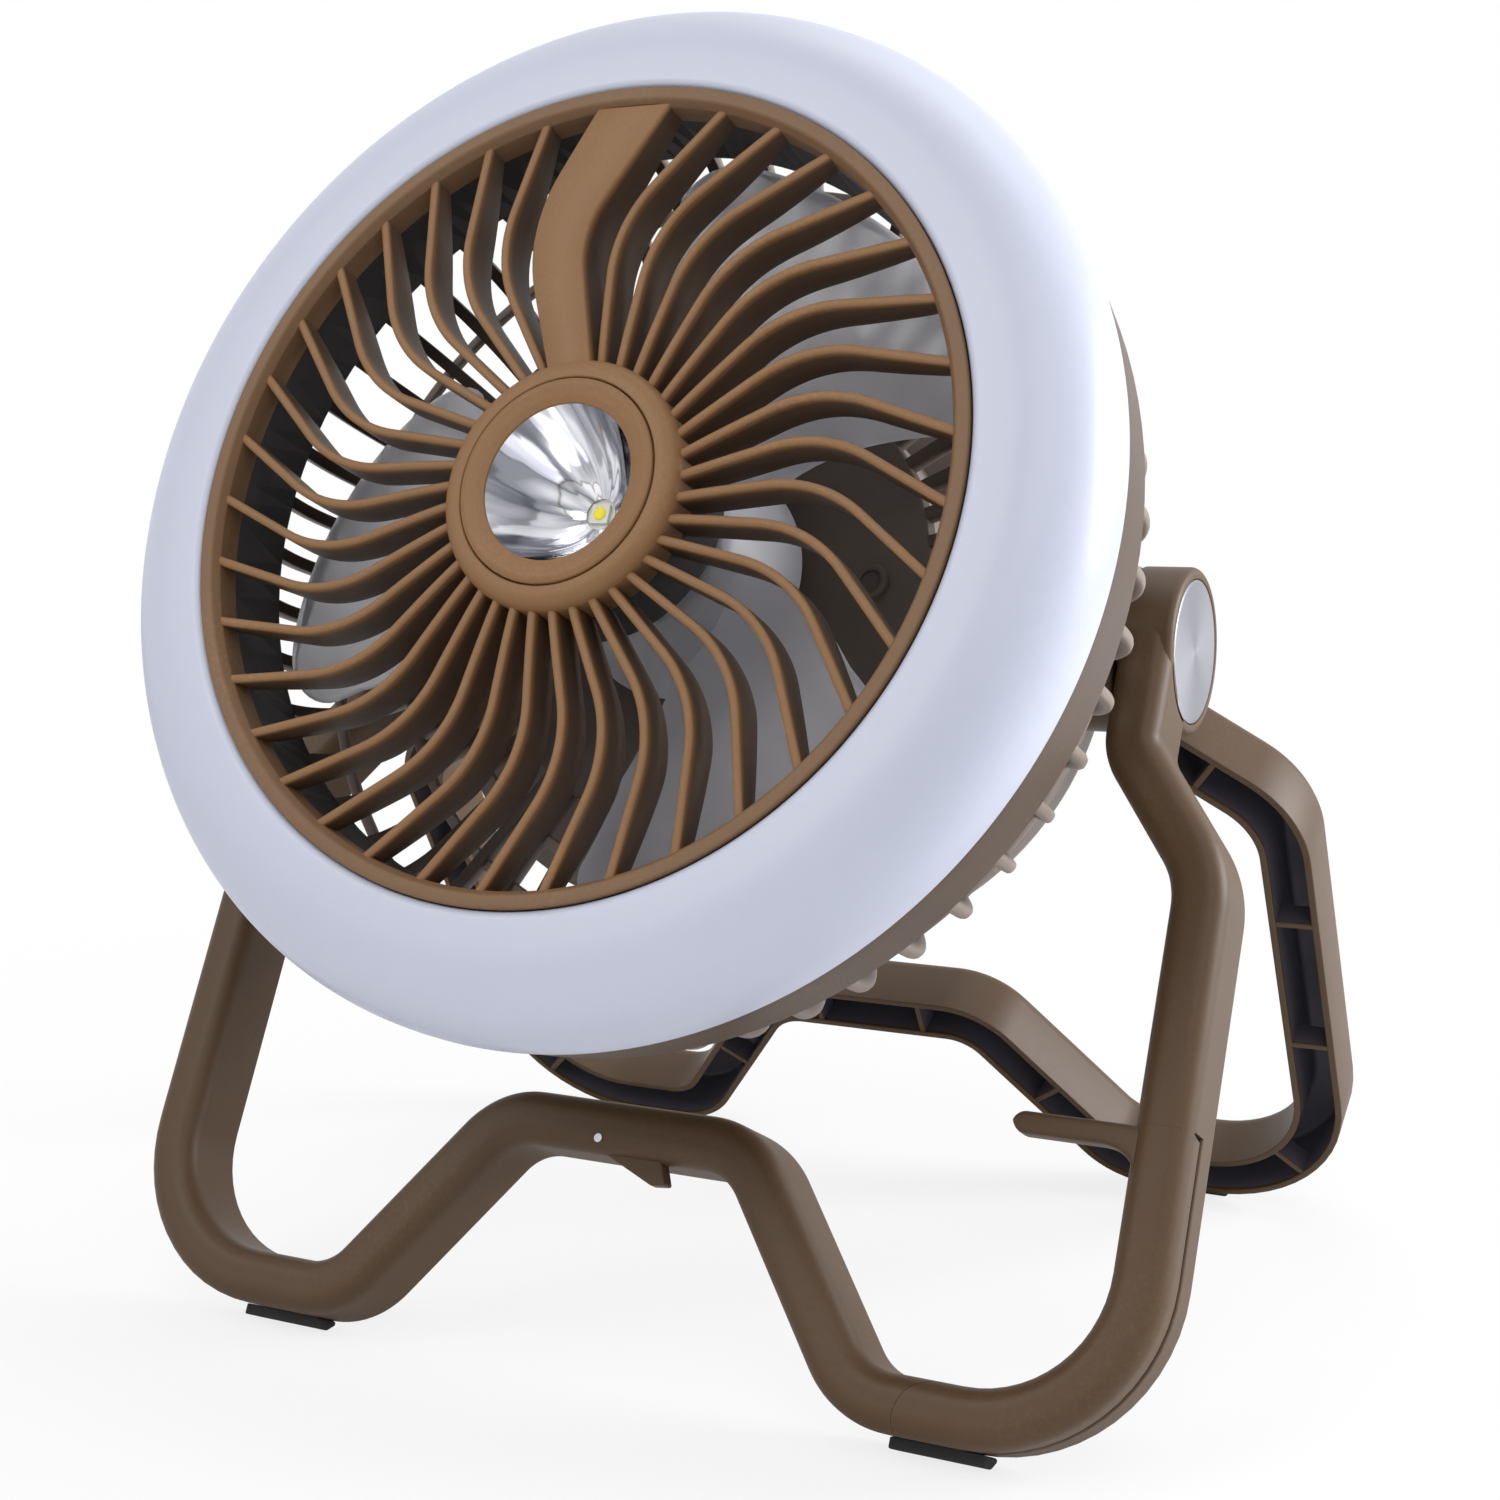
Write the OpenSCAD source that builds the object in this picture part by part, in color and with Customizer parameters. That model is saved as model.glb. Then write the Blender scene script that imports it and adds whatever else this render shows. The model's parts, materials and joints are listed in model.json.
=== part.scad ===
// Portable camping fan: a round fan head with a light ring and a spotlight,
// held between two folding W-shaped stand frames, with a hanging hook.
// Millimetres, Z up, the front looks along -Y and the floor is Z = 0. The
// origin lies on the floor under the middle of the fan's width and depth.

/* [Stand] */
// angle of each frame from the vertical when the stand is open
leg_angle = 28.4; // [24:0.2:32]
// width of the frame bar across its outline
bar_width = 12.6; // [12:0.6:13.2]
// depth of the frame bar from its open side to its smooth face
bar_depth = 19; // [15:0.5:19]
// wall of the hollow frame bar
bar_wall = 1.8; // [1.8:0.1:3]
// rounding of the two smooth edges of the bar
bar_round = 4.5; // [2:0.5:5]
// half width of the stand to the middle of its legs
leg_half = 126; // [124:0.5:132]
// distance from the tilt axis to the raised middle bar
bar_reach = 130; // [124:1:140]
// distance from the tilt axis to the middle of the foot bars
foot_reach = 178; // [170:1:190]
// half length of the raised middle bar, to its corner
bar_half = 31.5; // [24:0.5:36]
// radius of the outer foot corners
foot_bend = 34; // [24:0.5:36]
// radius of the corners beside the middle bar
bar_bend = 18; // [12:1:22]
// radius of the shoulders of the legs
shoulder_bend = 24; // [18:3:30]
// radius of the bend below each barrel
neck_bend = 12; // [6:3:15]
// radius of the barrels on the tilt axis
barrel_radius = 19.5; // [18:0.5:22]
// thickness of the rubber feet
pad_thickness = 2.6; // [2:0.2:4]
// length of the rubber feet
pad_length = 22; // [16:1:26]

/* [Hook and catch] */
// distance of the top of the folded hook from the tilt axis
hook_top = 113; // [100:1:125]
// depth of the hook bar
hook_depth = 9.2; // [7:0.2:10]
// length of the fingertip that stands off the leg
hook_finger = 26; // [16:1:30]
// thickness of the fingertip
finger_thickness = 5; // [4:0.5:7]
// distance of the hook pin from the middle plane
hook_pin_x = 88; // [86:0.5:89]
// length of the small catch under the middle bar
catch_length = 18; // [12:1:22]

/* [Head] */
// upward tilt of the head from the level
head_tilt = 24; // [15:1:40]
// distance from the tilt axis to the front of the light ring
ring_front = 106; // [104:0.5:110]
// outer radius of the light ring
ring_outer = 119.3; // [118.5:0.1:119.6]
// width of the light ring, from its opening to its outer edge
ring_width = 26.1; // [25:0.1:27]
// rounding of the outer front edge of the light ring
ring_round = 18.3; // [12:0.1:19]
// distance from the tilt axis to the back edge of the rim
rim_back = 66; // [64:0.5:68]
// wall of the light ring
ring_wall = 1.8; // [1.4:0.1:2.2]
// number of light emitters in the ring
ring_lights = 36; // [24:2:48]

/* [Grille and spotlight] */
// number of narrow guard vanes
vane_count = 35; // [35:1:35]
// thickness of a guard vane
vane_thickness = 2; // [1.4:0.1:2.4]
// depth of a guard vane
vane_depth = 10; // [7:0.5:11]
// sideways turn of a vane between its inner and outer run
vane_turn = 45; // [40:1:48]
// radius of the bend in a vane
vane_bend = 20; // [16:1:24]
// outer radius of the guard hub
hub_radius = 28.7; // [28:0.1:30]
// outer radius of the spotlight bezel
bezel_radius = 23.5; // [23:0.1:24]
// radius of the spotlight opening
spot_radius = 18.2; // [17:0.1:18.6]

/* [Fan] */
// number of fan blades
blade_count = 3; // [2:1:3]
// radius over the blade tips
blade_radius = 90; // [84:0.5:91]
// pitch of the blades
blade_pitch = 13; // [8:1:15]
// thickness of a blade
blade_thickness = 2; // [1.6:0.1:3]
// radius of the fan hub
fan_hub_radius = 29.5; // [26:0.5:31]

/* [Back] */
// number of ribs in the rear cage
rib_count = 52; // [40:4:56]
// thickness of a cage rib
rib_thickness = 2.2; // [1.8:0.1:2.6]
// distance of the cage ribs inside the outer edge of the light ring
cage_inset = 5.3; // [4.4:0.1:7]
// radius of the rounded cage shoulder
cage_round = 24; // [20:1:28]
// radius of the round ends of the drum
drum_radius = 74; // [72:1:76]
// distance from the tilt axis to the back of the drum
drum_back = 27; // [26:0.5:32]
// distance from the tilt axis to the front of the drum
drum_front = 12; // [11:0.5:14]
// rounding of the back edge of the drum
drum_round = 6; // [3:0.5:8]
// wall of the drum
drum_wall = 2.4; // [2:0.1:3]
// number of rechargeable cells
cell_count = 4; // [2:1:4]

/* [Hidden] */
$fn = 96;
eps = 0.01;
gap = 0.3;
running = 0.06;

// frame section: z from the open side to the smooth face
open_z = 0.4;
face_z = open_z + bar_depth;
half_bar = bar_width / 2;
channel_half = half_bar - bar_wall;
low_top = face_z - hook_depth - 2 * gap;
foot_edge = foot_reach + half_bar;
pad_z0 = 1;
pad_z1 = low_top - 0.6;
pad_cut = 1.2;
pad_x = 86;
pivot_height = (foot_edge + pad_thickness) * cos(leg_angle)
  - pad_z0 * sin(leg_angle) - pad_cut;
// how far the light ring and the rear feet stand out from the tilt axis
front_reach = (ring_front - ring_round) * cos(head_tilt)
  + (ring_outer - ring_round) * sin(head_tilt) + ring_round;
rear_reach = (foot_edge - bar_round) * sin(leg_angle)
  + (face_z - bar_round) * cos(leg_angle) + bar_round;
tilt_axis = [0, (front_reach - rear_reach) / 2, pivot_height];

// stack of parts along the tilt axis
cap_radius = 16.7;
cap_thickness = 1.3;
washer_thickness = 0.9;
front_barrel_out = 111.6;
front_barrel_in = front_barrel_out - bar_width;
rear_barrel_out = front_barrel_in - washer_thickness - gap;
rear_barrel_in = rear_barrel_out - bar_width;
boss_face = rear_barrel_in - washer_thickness - gap;
pin_radius = 5;
pin_head = 9;
pin_head_x = front_barrel_out - cap_thickness - 3;
pin_end = 70;
boss_radius = 15;

front_knuckle = front_barrel_in + half_bar;
rear_knuckle = rear_barrel_in + half_bar;
// the slopes of the bar run three across to four down, and those of the
// rear arms four across to three down
foot_inner = bar_half + (foot_reach - bar_reach) * 3 / 4;
front_neck = 30;
rear_neck = 24;
function frame_path(knuckle, neck, fall) = [
  [0, -bar_reach], [bar_half, -bar_reach], [foot_inner, -foot_reach],
  [leg_half, -foot_reach],
  [leg_half, -neck - (leg_half - knuckle) * fall], [knuckle, -neck],
  [knuckle, -15]
];
front_path = frame_path(front_knuckle, front_neck, 4 / 3);
rear_path = frame_path(rear_knuckle, rear_neck, 3 / 4);
frame_bends = [0, bar_bend, bar_bend, foot_bend, shoulder_bend, neck_bend, 0];
// the hook turns on a pin near the outer edge of the foot bar, and its round
// root reaches from there to the inner edge
hook_pin_radius = 2;
hook_pin_down = half_bar - hook_pin_radius - 1.5;
hook_start = [hook_pin_x, -foot_reach];
hook_pin_at = hook_start - [0, hook_pin_down];
hook_root = half_bar + hook_pin_down + 0.2;
hook_split = [leg_half, -hook_top];
catch_at = [-4, -(bar_reach + 3)];
catch_z = face_z - 7;
catch_thickness = 4;

// head levels along its own axis
tray_front = 85;
tray_back = tray_front - 2;
rim_wall = 2;
ring_inner = ring_outer - ring_width;
cage_radius = ring_outer - cage_inset;
tube_radius = ring_inner - 0.2;
tube_inner = tube_radius - 1.8;
tube_front = ring_front - 1.2;
grille_outer = tube_inner - 0.1;
grille_inner = grille_outer - 2.3;
grille_back = ring_front - 8;
vane_front = ring_front - 2;
vane_pitch = 360 / (vane_count + 2);
vane_root = [-3.65, hub_radius - 0.2];
vane_steps = 6;
lead_vane_in = 10.6;
lead_vane_out = 17;
duct_inner = tube_inner - 2;
duct_wall = 1.6;
cup_wall = 2.6;
spot_step = ring_front - 4.2;
spot_floor = ring_front - 22.4;
board_thickness = 1.6;
spot_base = spot_floor + board_thickness;
cage_bend_z = 54;
rib_back = cage_bend_z - cage_round;
rib_width = 4;
plate_back = rib_back - 0.4;
plate_front = rib_back + rib_width + 0.4;
cage_ring_in = cage_radius - 6;
duct_outer = cage_ring_in - 0.4;
neck_radius = 58;
neck_wall = 2.4;
motor_radius = 21;
motor_back = 4;
shaft_radius = 2.5;
fan_back = 42;
fan_front = 66;
fan_nose = fan_hub_radius - 8.5;
fan_wall = 2.4;
drum_side = boss_face - drum_radius;
cell_radius = 9.2;
cell_length = 65;
cell_z = -10;
cell_pitch = 19.2;
holder_half = 44.4;
cover_inner = -drum_back + drum_wall;
cover_front = -drum_back + 9;
control_z = cover_inner + 2;
button_radius = 6;
button_x = 17;
rotor_turn = 62;
screw_radius = 1.5;
screw_reach = cover_front + 8;
cage_screw_radius = cage_ring_in + 2.6;
// the cage screws stand midway between two ribs
cage_screw_turn = (floor(rib_count / 8) + 0.5) * 360 / rib_count;

brown = [0.43, 0.31, 0.21];
taupe = [0.56, 0.49, 0.45];
dark = [0.17, 0.14, 0.13];
milk = [0.83, 0.86, 0.95];
steel = [0.8, 0.81, 0.82];

// ---- placement ----
module in_front_leg() {
  translate(tilt_axis) rotate([90 - leg_angle, 0, 0]) children();
}
module in_rear_leg() {
  translate(tilt_axis) rotate([0, 0, 180])
    rotate([90 - leg_angle, 0, 0]) children();
}
module in_head() {
  translate(tilt_axis) rotate([90 - head_tilt, 0, 0]) children();
}
module both_sides() {
  children();
  mirror([1, 0, 0]) children();
}
module along_x(x0, x1) {
  translate([x0, 0, 0]) rotate([90, 0, 90]) linear_extrude(x1 - x0) children();
}
module disc(r, z0, z1) {
  translate([0, 0, z0]) cylinder(r = r, h = z1 - z0);
}
module ring(ro, ri, z0, z1) {
  difference() {
    disc(ro, z0, z1);
    disc(ri, z0 - 1, z1 + 1);
  }
}
module block(x0, x1, y0, y1, z0, z1) {
  translate([x0, y0, z0]) cube([x1 - x0, y1 - y0, z1 - z0]);
}

// ---- sweeping a section along a line with rounded corners ----
function unit2(v) = v / norm(v);
function turn_at(a, b, c) =
  let (p = unit2(b - a), q = unit2(c - b))
  atan2(p[0] * q[1] - p[1] * q[0], p[0] * q[0] + p[1] * q[1]);
function trim_at(path, bends, i) =
  (i == 0 || i == len(path) - 1) ? 0
  : bends[i] * tan(abs(turn_at(path[i - 1], path[i], path[i + 1])) / 2);

module run(a, b) {
  d = b - a;
  translate([a[0], a[1], 0]) rotate([0, 0, atan2(d[1], d[0])])
    rotate([90, 0, 90]) linear_extrude(norm(d)) children();
}
module bend(a, b, c, r) {
  turn = turn_at(a, b, c);
  p = unit2(b - a);
  q = unit2(c - b);
  side = turn > 0 ? [-p[1], p[0]] : [p[1], -p[0]];
  end_side = turn > 0 ? [-q[1], q[0]] : [q[1], -q[0]];
  centre = b - p * r * tan(abs(turn) / 2) + side * r;
  wide = 4 * r;
  translate([centre[0], centre[1], 0]) intersection() {
    rotate_extrude() translate([r, 0]) children();
    translate([0, 0, -wide]) linear_extrude(2 * wide)
      polygon([[0, 0], -side * wide, -(side + end_side) * wide,
               -end_side * wide]);
  }
}
module sweep(path, bends) {
  for (i = [0 : len(path) - 2]) {
    d = unit2(path[i + 1] - path[i]);
    run(path[i] + d * trim_at(path, bends, i),
        path[i + 1] - d * trim_at(path, bends, i + 1)) children();
  }
  for (i = [1 : len(path) - 2])
    bend(path[i - 1], path[i], path[i + 1], bends[i]) children();
}

// ---- stand ----
// bar section: smooth face up, two rounded edges
module bar_outline(z0, z1, r) {
  translate([-half_bar, z0]) square([bar_width, z1 - z0 - r]);
  translate([-half_bar + r, z0]) square([bar_width - 2 * r, z1 - z0]);
  for (s = [-1, 1]) translate([s * (half_bar - r), z1 - r]) circle(r = r);
}
module channel_section(top, r) {
  difference() {
    bar_outline(open_z, top, r);
    translate([-channel_half, open_z - 1])
      square([2 * channel_half, top - bar_wall - open_z + 1]);
  }
}
module full_section() {
  channel_section(face_z, bar_round);
}
module low_section() {
  channel_section(low_top, 0.6);
}
// cross ribs inside the hollow bar, evenly spaced on a straight run
module cross_ribs(a, b, count, top) {
  d = b - a;
  translate([a[0], a[1], 0]) rotate([0, 0, atan2(d[1], d[0])])
    for (i = [0 : count - 1])
      translate([norm(d) * (i + 0.5) / count - 0.8, -channel_half - eps, open_z + 0.3])
        cube([1.6, 2 * channel_half + 2 * eps, top - bar_wall - open_z - 0.2]);
}
module frame_ribs(path) {
  cross_ribs([-bar_half, -bar_reach], [bar_half, -bar_reach], 2, face_z);
  for (s = [-1, 1]) scale_x(s) {
    cross_ribs(path[1], path[2], 1, face_z);
    cross_ribs(path[3] + [0, foot_bend], path[4] - [0, 12], 2, low_top);
    cross_ribs(path[4], path[5], 1, face_z);
    // one rib stands in the middle of the foot corner
    translate(path[3] + [-foot_bend, foot_bend]) rotate(-45)
      cross_ribs([foot_bend, -1], [foot_bend, 1], 1, low_top);
  }
}
module scale_x(s) {
  if (s < 0) mirror([1, 0, 0]) children();
  else children();
}
// barrel on the tilt axis with its root on the leg
module barrel_body(x0, x1, root) {
  along_x(x0, x1) {
    circle(r = barrel_radius);
    polygon([[-7.5, -17.5], [4 - root, open_z], [-root, open_z],
             [-root, face_z], [0, min(face_z, barrel_radius)], [0, 0]]);
  }
}
module front_frame() {
  color(brown) in_front_leg() difference() {
    union() {
      mirror([1, 0, 0]) sweep(front_path, frame_bends) full_section();
      sweep([for (i = [0 : 2]) front_path[i], hook_start], frame_bends)
        full_section();
      sweep([hook_start - [hook_root + 1, 0], front_path[3], hook_split],
            [0, foot_bend, 0]) low_section();
      sweep([hook_split, front_path[4], front_path[5], front_path[6]],
            [0, shoulder_bend, neck_bend, 0]) full_section();
      frame_ribs(front_path);
      both_sides() barrel_body(front_barrel_in, front_barrel_out, front_neck - 4);
      // solid seat round the hook pin
      block(hook_pin_x - 5, hook_pin_x + 5, -foot_reach - half_bar + 0.5,
            -foot_reach + half_bar - 0.5, open_z + 0.3, low_top - 0.5);
      // solid seat round the catch pin
      block(catch_at[0] - 4, catch_at[0] + 4, -bar_reach - half_bar + 0.5,
            -bar_reach + 3, open_z + 3, face_z - 1);
    }
    both_sides() barrel_bore();
    translate([hook_pin_at[0], hook_pin_at[1], low_top])
      cylinder(r = hook_root + gap, h = bar_depth);
    translate([hook_pin_at[0], hook_pin_at[1], open_z - 1])
      cylinder(r = hook_pin_radius, h = bar_depth);
    // pocket of the catch in the underside of the middle bar
    translate([catch_at[0], catch_at[1], catch_z - gap])
      linear_extrude(catch_thickness + 2 * gap) {
        circle(r = 3.4);
        polygon([[0, 3.4], [catch_length + 1, 0.4], [catch_length + 1, -9],
                 [-3.4, -9], [-3.4, 0]]);
      }
    translate([catch_at[0], catch_at[1], 3]) cylinder(r = 1, h = bar_depth);
  }
}
module barrel_bore() {
  along_x(front_barrel_in - 1, front_barrel_out + 1) circle(r = pin_radius);
  along_x(pin_head_x, front_barrel_out + 1) circle(r = pin_head);
  along_x(front_barrel_out - cap_thickness, front_barrel_out + 1)
    circle(r = cap_radius);
}
module rear_frame() {
  color(brown) in_rear_leg() difference() {
    union() {
      both_sides() sweep(rear_path, frame_bends) full_section();
      frame_ribs(rear_path);
      both_sides() barrel_body(rear_barrel_in, rear_barrel_out, rear_neck - 4);
    }
    both_sides() along_x(rear_barrel_in - 1, rear_barrel_out + 1)
      circle(r = pin_radius + running);
  }
}
// rubber foot, its sole cut level with the floor
module foot_pads() {
  both_sides() block(pad_x - pad_length / 2, pad_x + pad_length / 2,
    -foot_edge - pad_thickness, -foot_edge, pad_z0, pad_z1);
}
module level_sole() {
  difference() {
    children();
    translate([-200, -200, -20]) cube([400, 400, 20]);
  }
}
module front_feet() {
  color(dark) level_sole() in_front_leg() foot_pads();
}
module rear_feet() {
  color(dark) level_sole() in_rear_leg() foot_pads();
}

// ---- hook, catch and tilt axis ----
module hook_section() {
  bar_outline(low_top + gap, face_z, min(bar_round, hook_depth / 2 - 0.2));
}
module hanging_hook() {
  finger_y = -hook_top - gap - finger_thickness / 2;
  hook_low = low_top + gap;
  color(brown) in_front_leg() difference() {
    union() {
      sweep([hook_start, front_path[3], hook_split - [0, gap]],
            [0, foot_bend, 0]) hook_section();
      intersection() {
        run(hook_start - [hook_root + 2, 0], hook_start + [1, 0]) hook_section();
        translate([hook_pin_at[0], hook_pin_at[1], 0])
          cylinder(r = hook_root, h = 40);
      }
      block(leg_half - half_bar - hook_finger + finger_thickness / 2, leg_half,
            finger_y - finger_thickness / 2, finger_y + finger_thickness / 2,
            hook_low + 1, face_z - 1);
      translate([leg_half - half_bar - hook_finger + finger_thickness / 2,
                 finger_y, hook_low + 1])
        cylinder(r = finger_thickness / 2, h = face_z - hook_low - 2);
    }
    translate([hook_pin_at[0], hook_pin_at[1], 0])
      cylinder(r = hook_pin_radius + running, h = face_z - 2.2);
  }
}
module hook_pin() {
  color(steel) in_front_leg()
    translate([hook_pin_at[0], hook_pin_at[1], open_z])
      cylinder(r = hook_pin_radius, h = face_z - open_z - 2.5);
}
module frame_catch() {
  color(brown) in_front_leg()
    translate([catch_at[0], catch_at[1], catch_z]) difference() {
      union() {
        cylinder(r = 3, h = catch_thickness);
        linear_extrude(catch_thickness)
          polygon([[-0.2, 2.6], [catch_length - 3, -0.8], [catch_length, -8],
                   [catch_length - 4, -8.4], [-0.2, -2.6]]);
      }
      translate([0, 0, -1]) cylinder(r = 1 + running, h = 10);
    }
}
module catch_pin() {
  color(steel) in_front_leg() translate([catch_at[0], catch_at[1], 3])
    cylinder(r = 1, h = face_z - 2.8);
}
module pivot_caps() {
  color(steel) at_pivot() both_sides()
    along_x(front_barrel_out - cap_thickness, front_barrel_out)
      circle(r = cap_radius);
}
module pivot_pins() {
  color(steel) at_pivot() both_sides() {
    along_x(pin_end, pin_head_x + 1) circle(r = pin_radius);
    along_x(pin_head_x, front_barrel_out - cap_thickness)
      circle(r = pin_head);
  }
}
module at_pivot() {
  translate(tilt_axis) children();
}
module axis_washer(x) {
  along_x(x, x + washer_thickness) difference() {
    circle(r = 12);
    circle(r = pin_radius + running);
  }
}
module front_washers() {
  color(dark) at_pivot() both_sides() axis_washer(front_barrel_in - washer_thickness);
}
module rear_washers() {
  color(dark) at_pivot() both_sides() axis_washer(rear_barrel_in - washer_thickness);
}

// ---- light ring and rim ----
module head_rim() {
  color(brown) in_head() difference() {
    rotate_extrude() {
      polygon([[ring_outer - 2.1, rim_back], [ring_outer - 0.4, tray_back],
               [ring_outer - 0.4, tray_front], [ring_outer - 3, tray_front],
               [ring_outer - 3, tray_back], [ring_outer - 4.4, rim_back]]);
      translate([tube_inner, tray_back])
        square([ring_outer - 2 - tube_inner, tray_front - tray_back]);
      translate([tube_inner, tray_back])
        square([tube_radius - tube_inner, tube_front - tray_back]);
      translate([cage_ring_in, rim_back])
        square([ring_outer - 3 - cage_ring_in, 2]);
    }
    cage_screw_spots() disc(screw_radius, rim_back - 1, rim_back + 3);
  }
}
// dome section of the ring, made smaller by t all round
module dome_section(t) {
  x0 = ring_inner + t;
  x1 = ring_outer - t;
  z1 = ring_front - t;
  r = ring_round - t;
  inner = 3.5 - t;
  translate([x0, tray_front]) square([x1 - r - x0, z1 - tray_front - inner]);
  translate([x0 + inner, tray_front])
    square([x1 - r - x0 - inner, z1 - tray_front]);
  translate([x0 + inner, z1 - inner]) circle(r = inner);
  translate([x1 - r - eps, tray_front]) square([r + eps, z1 - r - tray_front]);
  intersection() {
    translate([x1 - r, z1 - r]) circle(r = r);
    translate([x1 - r - eps, z1 - r - eps]) square([r + 1, r + 1]);
  }
}
module light_diffuser() {
  color(milk) in_head() rotate_extrude() difference() {
    dome_section(0);
    dome_section(ring_wall);
    translate([ring_inner + ring_wall, tray_front - 1])
      square([ring_outer - ring_inner - 2 * ring_wall, 2]);
  }
}
module ring_board() {
  color([0.9, 0.9, 0.88]) in_head()
    ring(ring_outer - 6, ring_inner + 5, tray_front, tray_front + 1.4);
}
module ring_emitters() {
  color([0.95, 0.85, 0.4]) in_head() for (i = [0 : ring_lights - 1])
    rotate([0, 0, i * 360 / ring_lights])
      translate([(ring_outer + ring_inner) / 2 - 1.4, -1.75, tray_front + 1.4])
        cube([2.8, 3.5, 0.8]);
}

// ---- grille and spotlight ----
// centre line of one guard vane seen from the front, its outer end straight
// up: an inner run, an arc and an outer run
function vane_line(more = 0) =
  let (outer = [0, grille_inner + 0.6],
       a = vane_turn * 0.43, b = vane_turn - a,
       p = [-sin(a), cos(a)], q = [sin(b), cos(b)],
       d = outer - vane_root,
       reach = (d[0] * q[1] - d[1] * q[0]) / (p[0] * q[1] - p[1] * q[0]),
       corner = vane_root + p * reach,
       start = corner - p * vane_bend * tan(vane_turn / 2),
       centre = start + [cos(a), sin(a)] * vane_bend)
  concat([vane_root - p * 1.5],
         [for (i = [0 : vane_steps])
            let (t = 180 + a - vane_turn * i / vane_steps)
            centre + [cos(t), sin(t)] * vane_bend],
         [outer + q * more]);
// the vane grows from one width at the hub to the other at the rim
module vane_outline(width_in, width_out, more = 0) {
  line = vane_line(more);
  last = len(line) - 1;
  function side(i, s) =
    let (d = unit2(line[min(i + 1, last)] - line[max(i - 1, 0)]),
         w = width_in + (width_out - width_in) * norm(line[i] - line[0])
           / norm(line[last] - line[0]))
    line[i] + s * [-d[1], d[0]] * w / 2;
  polygon(concat([for (i = [0 : last]) side(i, 1)],
                 [for (i = [last : -1 : 0]) side(i, -1)]));
}
module front_grille() {
  color(brown) in_head() {
    difference() {
      union() {
        translate([0, 0, vane_front - vane_depth]) linear_extrude(vane_depth)
          for (i = [0 : vane_count - 1])
            rotate(-(i + 1.5) * vane_pitch)
              vane_outline(vane_thickness, vane_thickness);
        wide_vane();
        disc(hub_radius, spot_floor - 2, ring_front);
      }
      // the vanes stay clear of the liner behind the rim
      ring(ring_inner, duct_inner - gap, vane_front - vane_depth - 1, grille_back);
      // spotlight cup
      disc(hub_radius - cup_wall - 5, spot_floor, ring_front + 1);
      disc(bezel_radius + 0.1, spot_step, ring_front + 1);
      disc(4, spot_floor - 4, ring_front);
    }
    ring(grille_outer, grille_inner, grille_back, ring_front);
    ring(tube_radius, grille_inner, tube_front, ring_front);
  }
}
// flat duct that carries the spotlight leads across the guard
module wide_vane() {
  translate([0, 0, vane_front - vane_depth]) linear_extrude(vane_depth + 1)
    intersection() {
      vane_outline(lead_vane_in, lead_vane_out, 8);
      circle(r = grille_inner + 0.8);
    }
}
module spot_bezel() {
  color(brown) in_head() rotate_extrude()
    polygon([[spot_radius, spot_step + 1.2], [bezel_radius, spot_step + 1.2],
             [bezel_radius, ring_front + 0.4], [bezel_radius - 1, ring_front + 1.2],
             [spot_radius + 0.8, ring_front + 0.6], [spot_radius, ring_front - 0.6]]);
}
// polished bowl: an arc from the emitter opening to the rim
module spot_reflector() {
  p = [3.6, spot_base + 0.6];
  q = [spot_radius, spot_step + 1.2];
  bowl = 26;
  chord = norm(q - p);
  up = unit2([p[1] - q[1], q[0] - p[0]]);
  centre = (p + q) / 2 + up * sqrt(bowl * bowl - chord * chord / 4);
  color(steel) in_head() rotate_extrude() {
    intersection() {
      difference() {
        translate(centre) circle(r = bowl + 1.2);
        translate(centre) circle(r = bowl);
      }
      translate([p[0], spot_base]) square([20, spot_step + 1.2 - spot_base]);
    }
    translate([p[0], spot_base]) square([3.4, 1]);
    translate([spot_radius, spot_step])
      square([bezel_radius - spot_radius, 1.2]);
  }
}
module spot_board() {
  color([0.85, 0.85, 0.82]) in_head()
    disc(10, spot_floor, spot_base);
}
module spot_emitter() {
  color([0.98, 0.86, 0.1]) in_head()
    block(-2.2, 2.2, -2.2, 2.2, spot_base, spot_base + 1);
}

// ---- duct, cage and drum ----
// dark liner: a sleeve behind the guard, a step under the tray and a skirt
module air_duct() {
  step = tray_back - gap;
  color(dark) in_head() rotate_extrude()
    polygon([[duct_inner, grille_back], [tube_inner - 0.1, grille_back],
             [tube_inner - 0.1, step], [duct_outer, step], [duct_outer, rim_back],
             [duct_outer - duct_wall, rim_back],
             [duct_outer - duct_wall, step - duct_wall],
             [duct_inner, step - duct_wall]]);
}
// outline of one cage rib: radius across, head level up
module rib_outline() {
  c = [cage_radius - cage_round, cage_bend_z];
  intersection() {
    translate(c) difference() {
      circle(r = cage_round);
      circle(r = cage_round - rib_width);
    }
    translate([c[0], c[1] - cage_round - 1])
      square([cage_round + 1, cage_round + 1]);
  }
  translate([cage_radius - rib_width, c[1]])
    square([rib_width, rim_back - 1 - c[1]]);
  translate([neck_radius - 2, rib_back])
    square([c[0] - neck_radius + 2, rib_width]);
}
module rear_cage() {
  color(dark) in_head() {
    for (i = [0 : rib_count - 1]) rotate([0, 0, i * 360 / rib_count])
      rotate([90, 0, 0]) translate([0, 0, -rib_thickness / 2])
        linear_extrude(rib_thickness) rib_outline();
    difference() {
      ring(cage_radius - 0.8, cage_ring_in, rim_back - 3, rim_back);
      cage_screw_spots() disc(screw_radius, rim_back - 4, rim_back + 1);
    }
    for (r = [cage_radius - 28, cage_radius - 42])
      ring(r, r - 2.4, rib_back + 0.4, rib_back + 2.8);
    ring(neck_radius, 6, plate_back, plate_front);
  }
}
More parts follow.
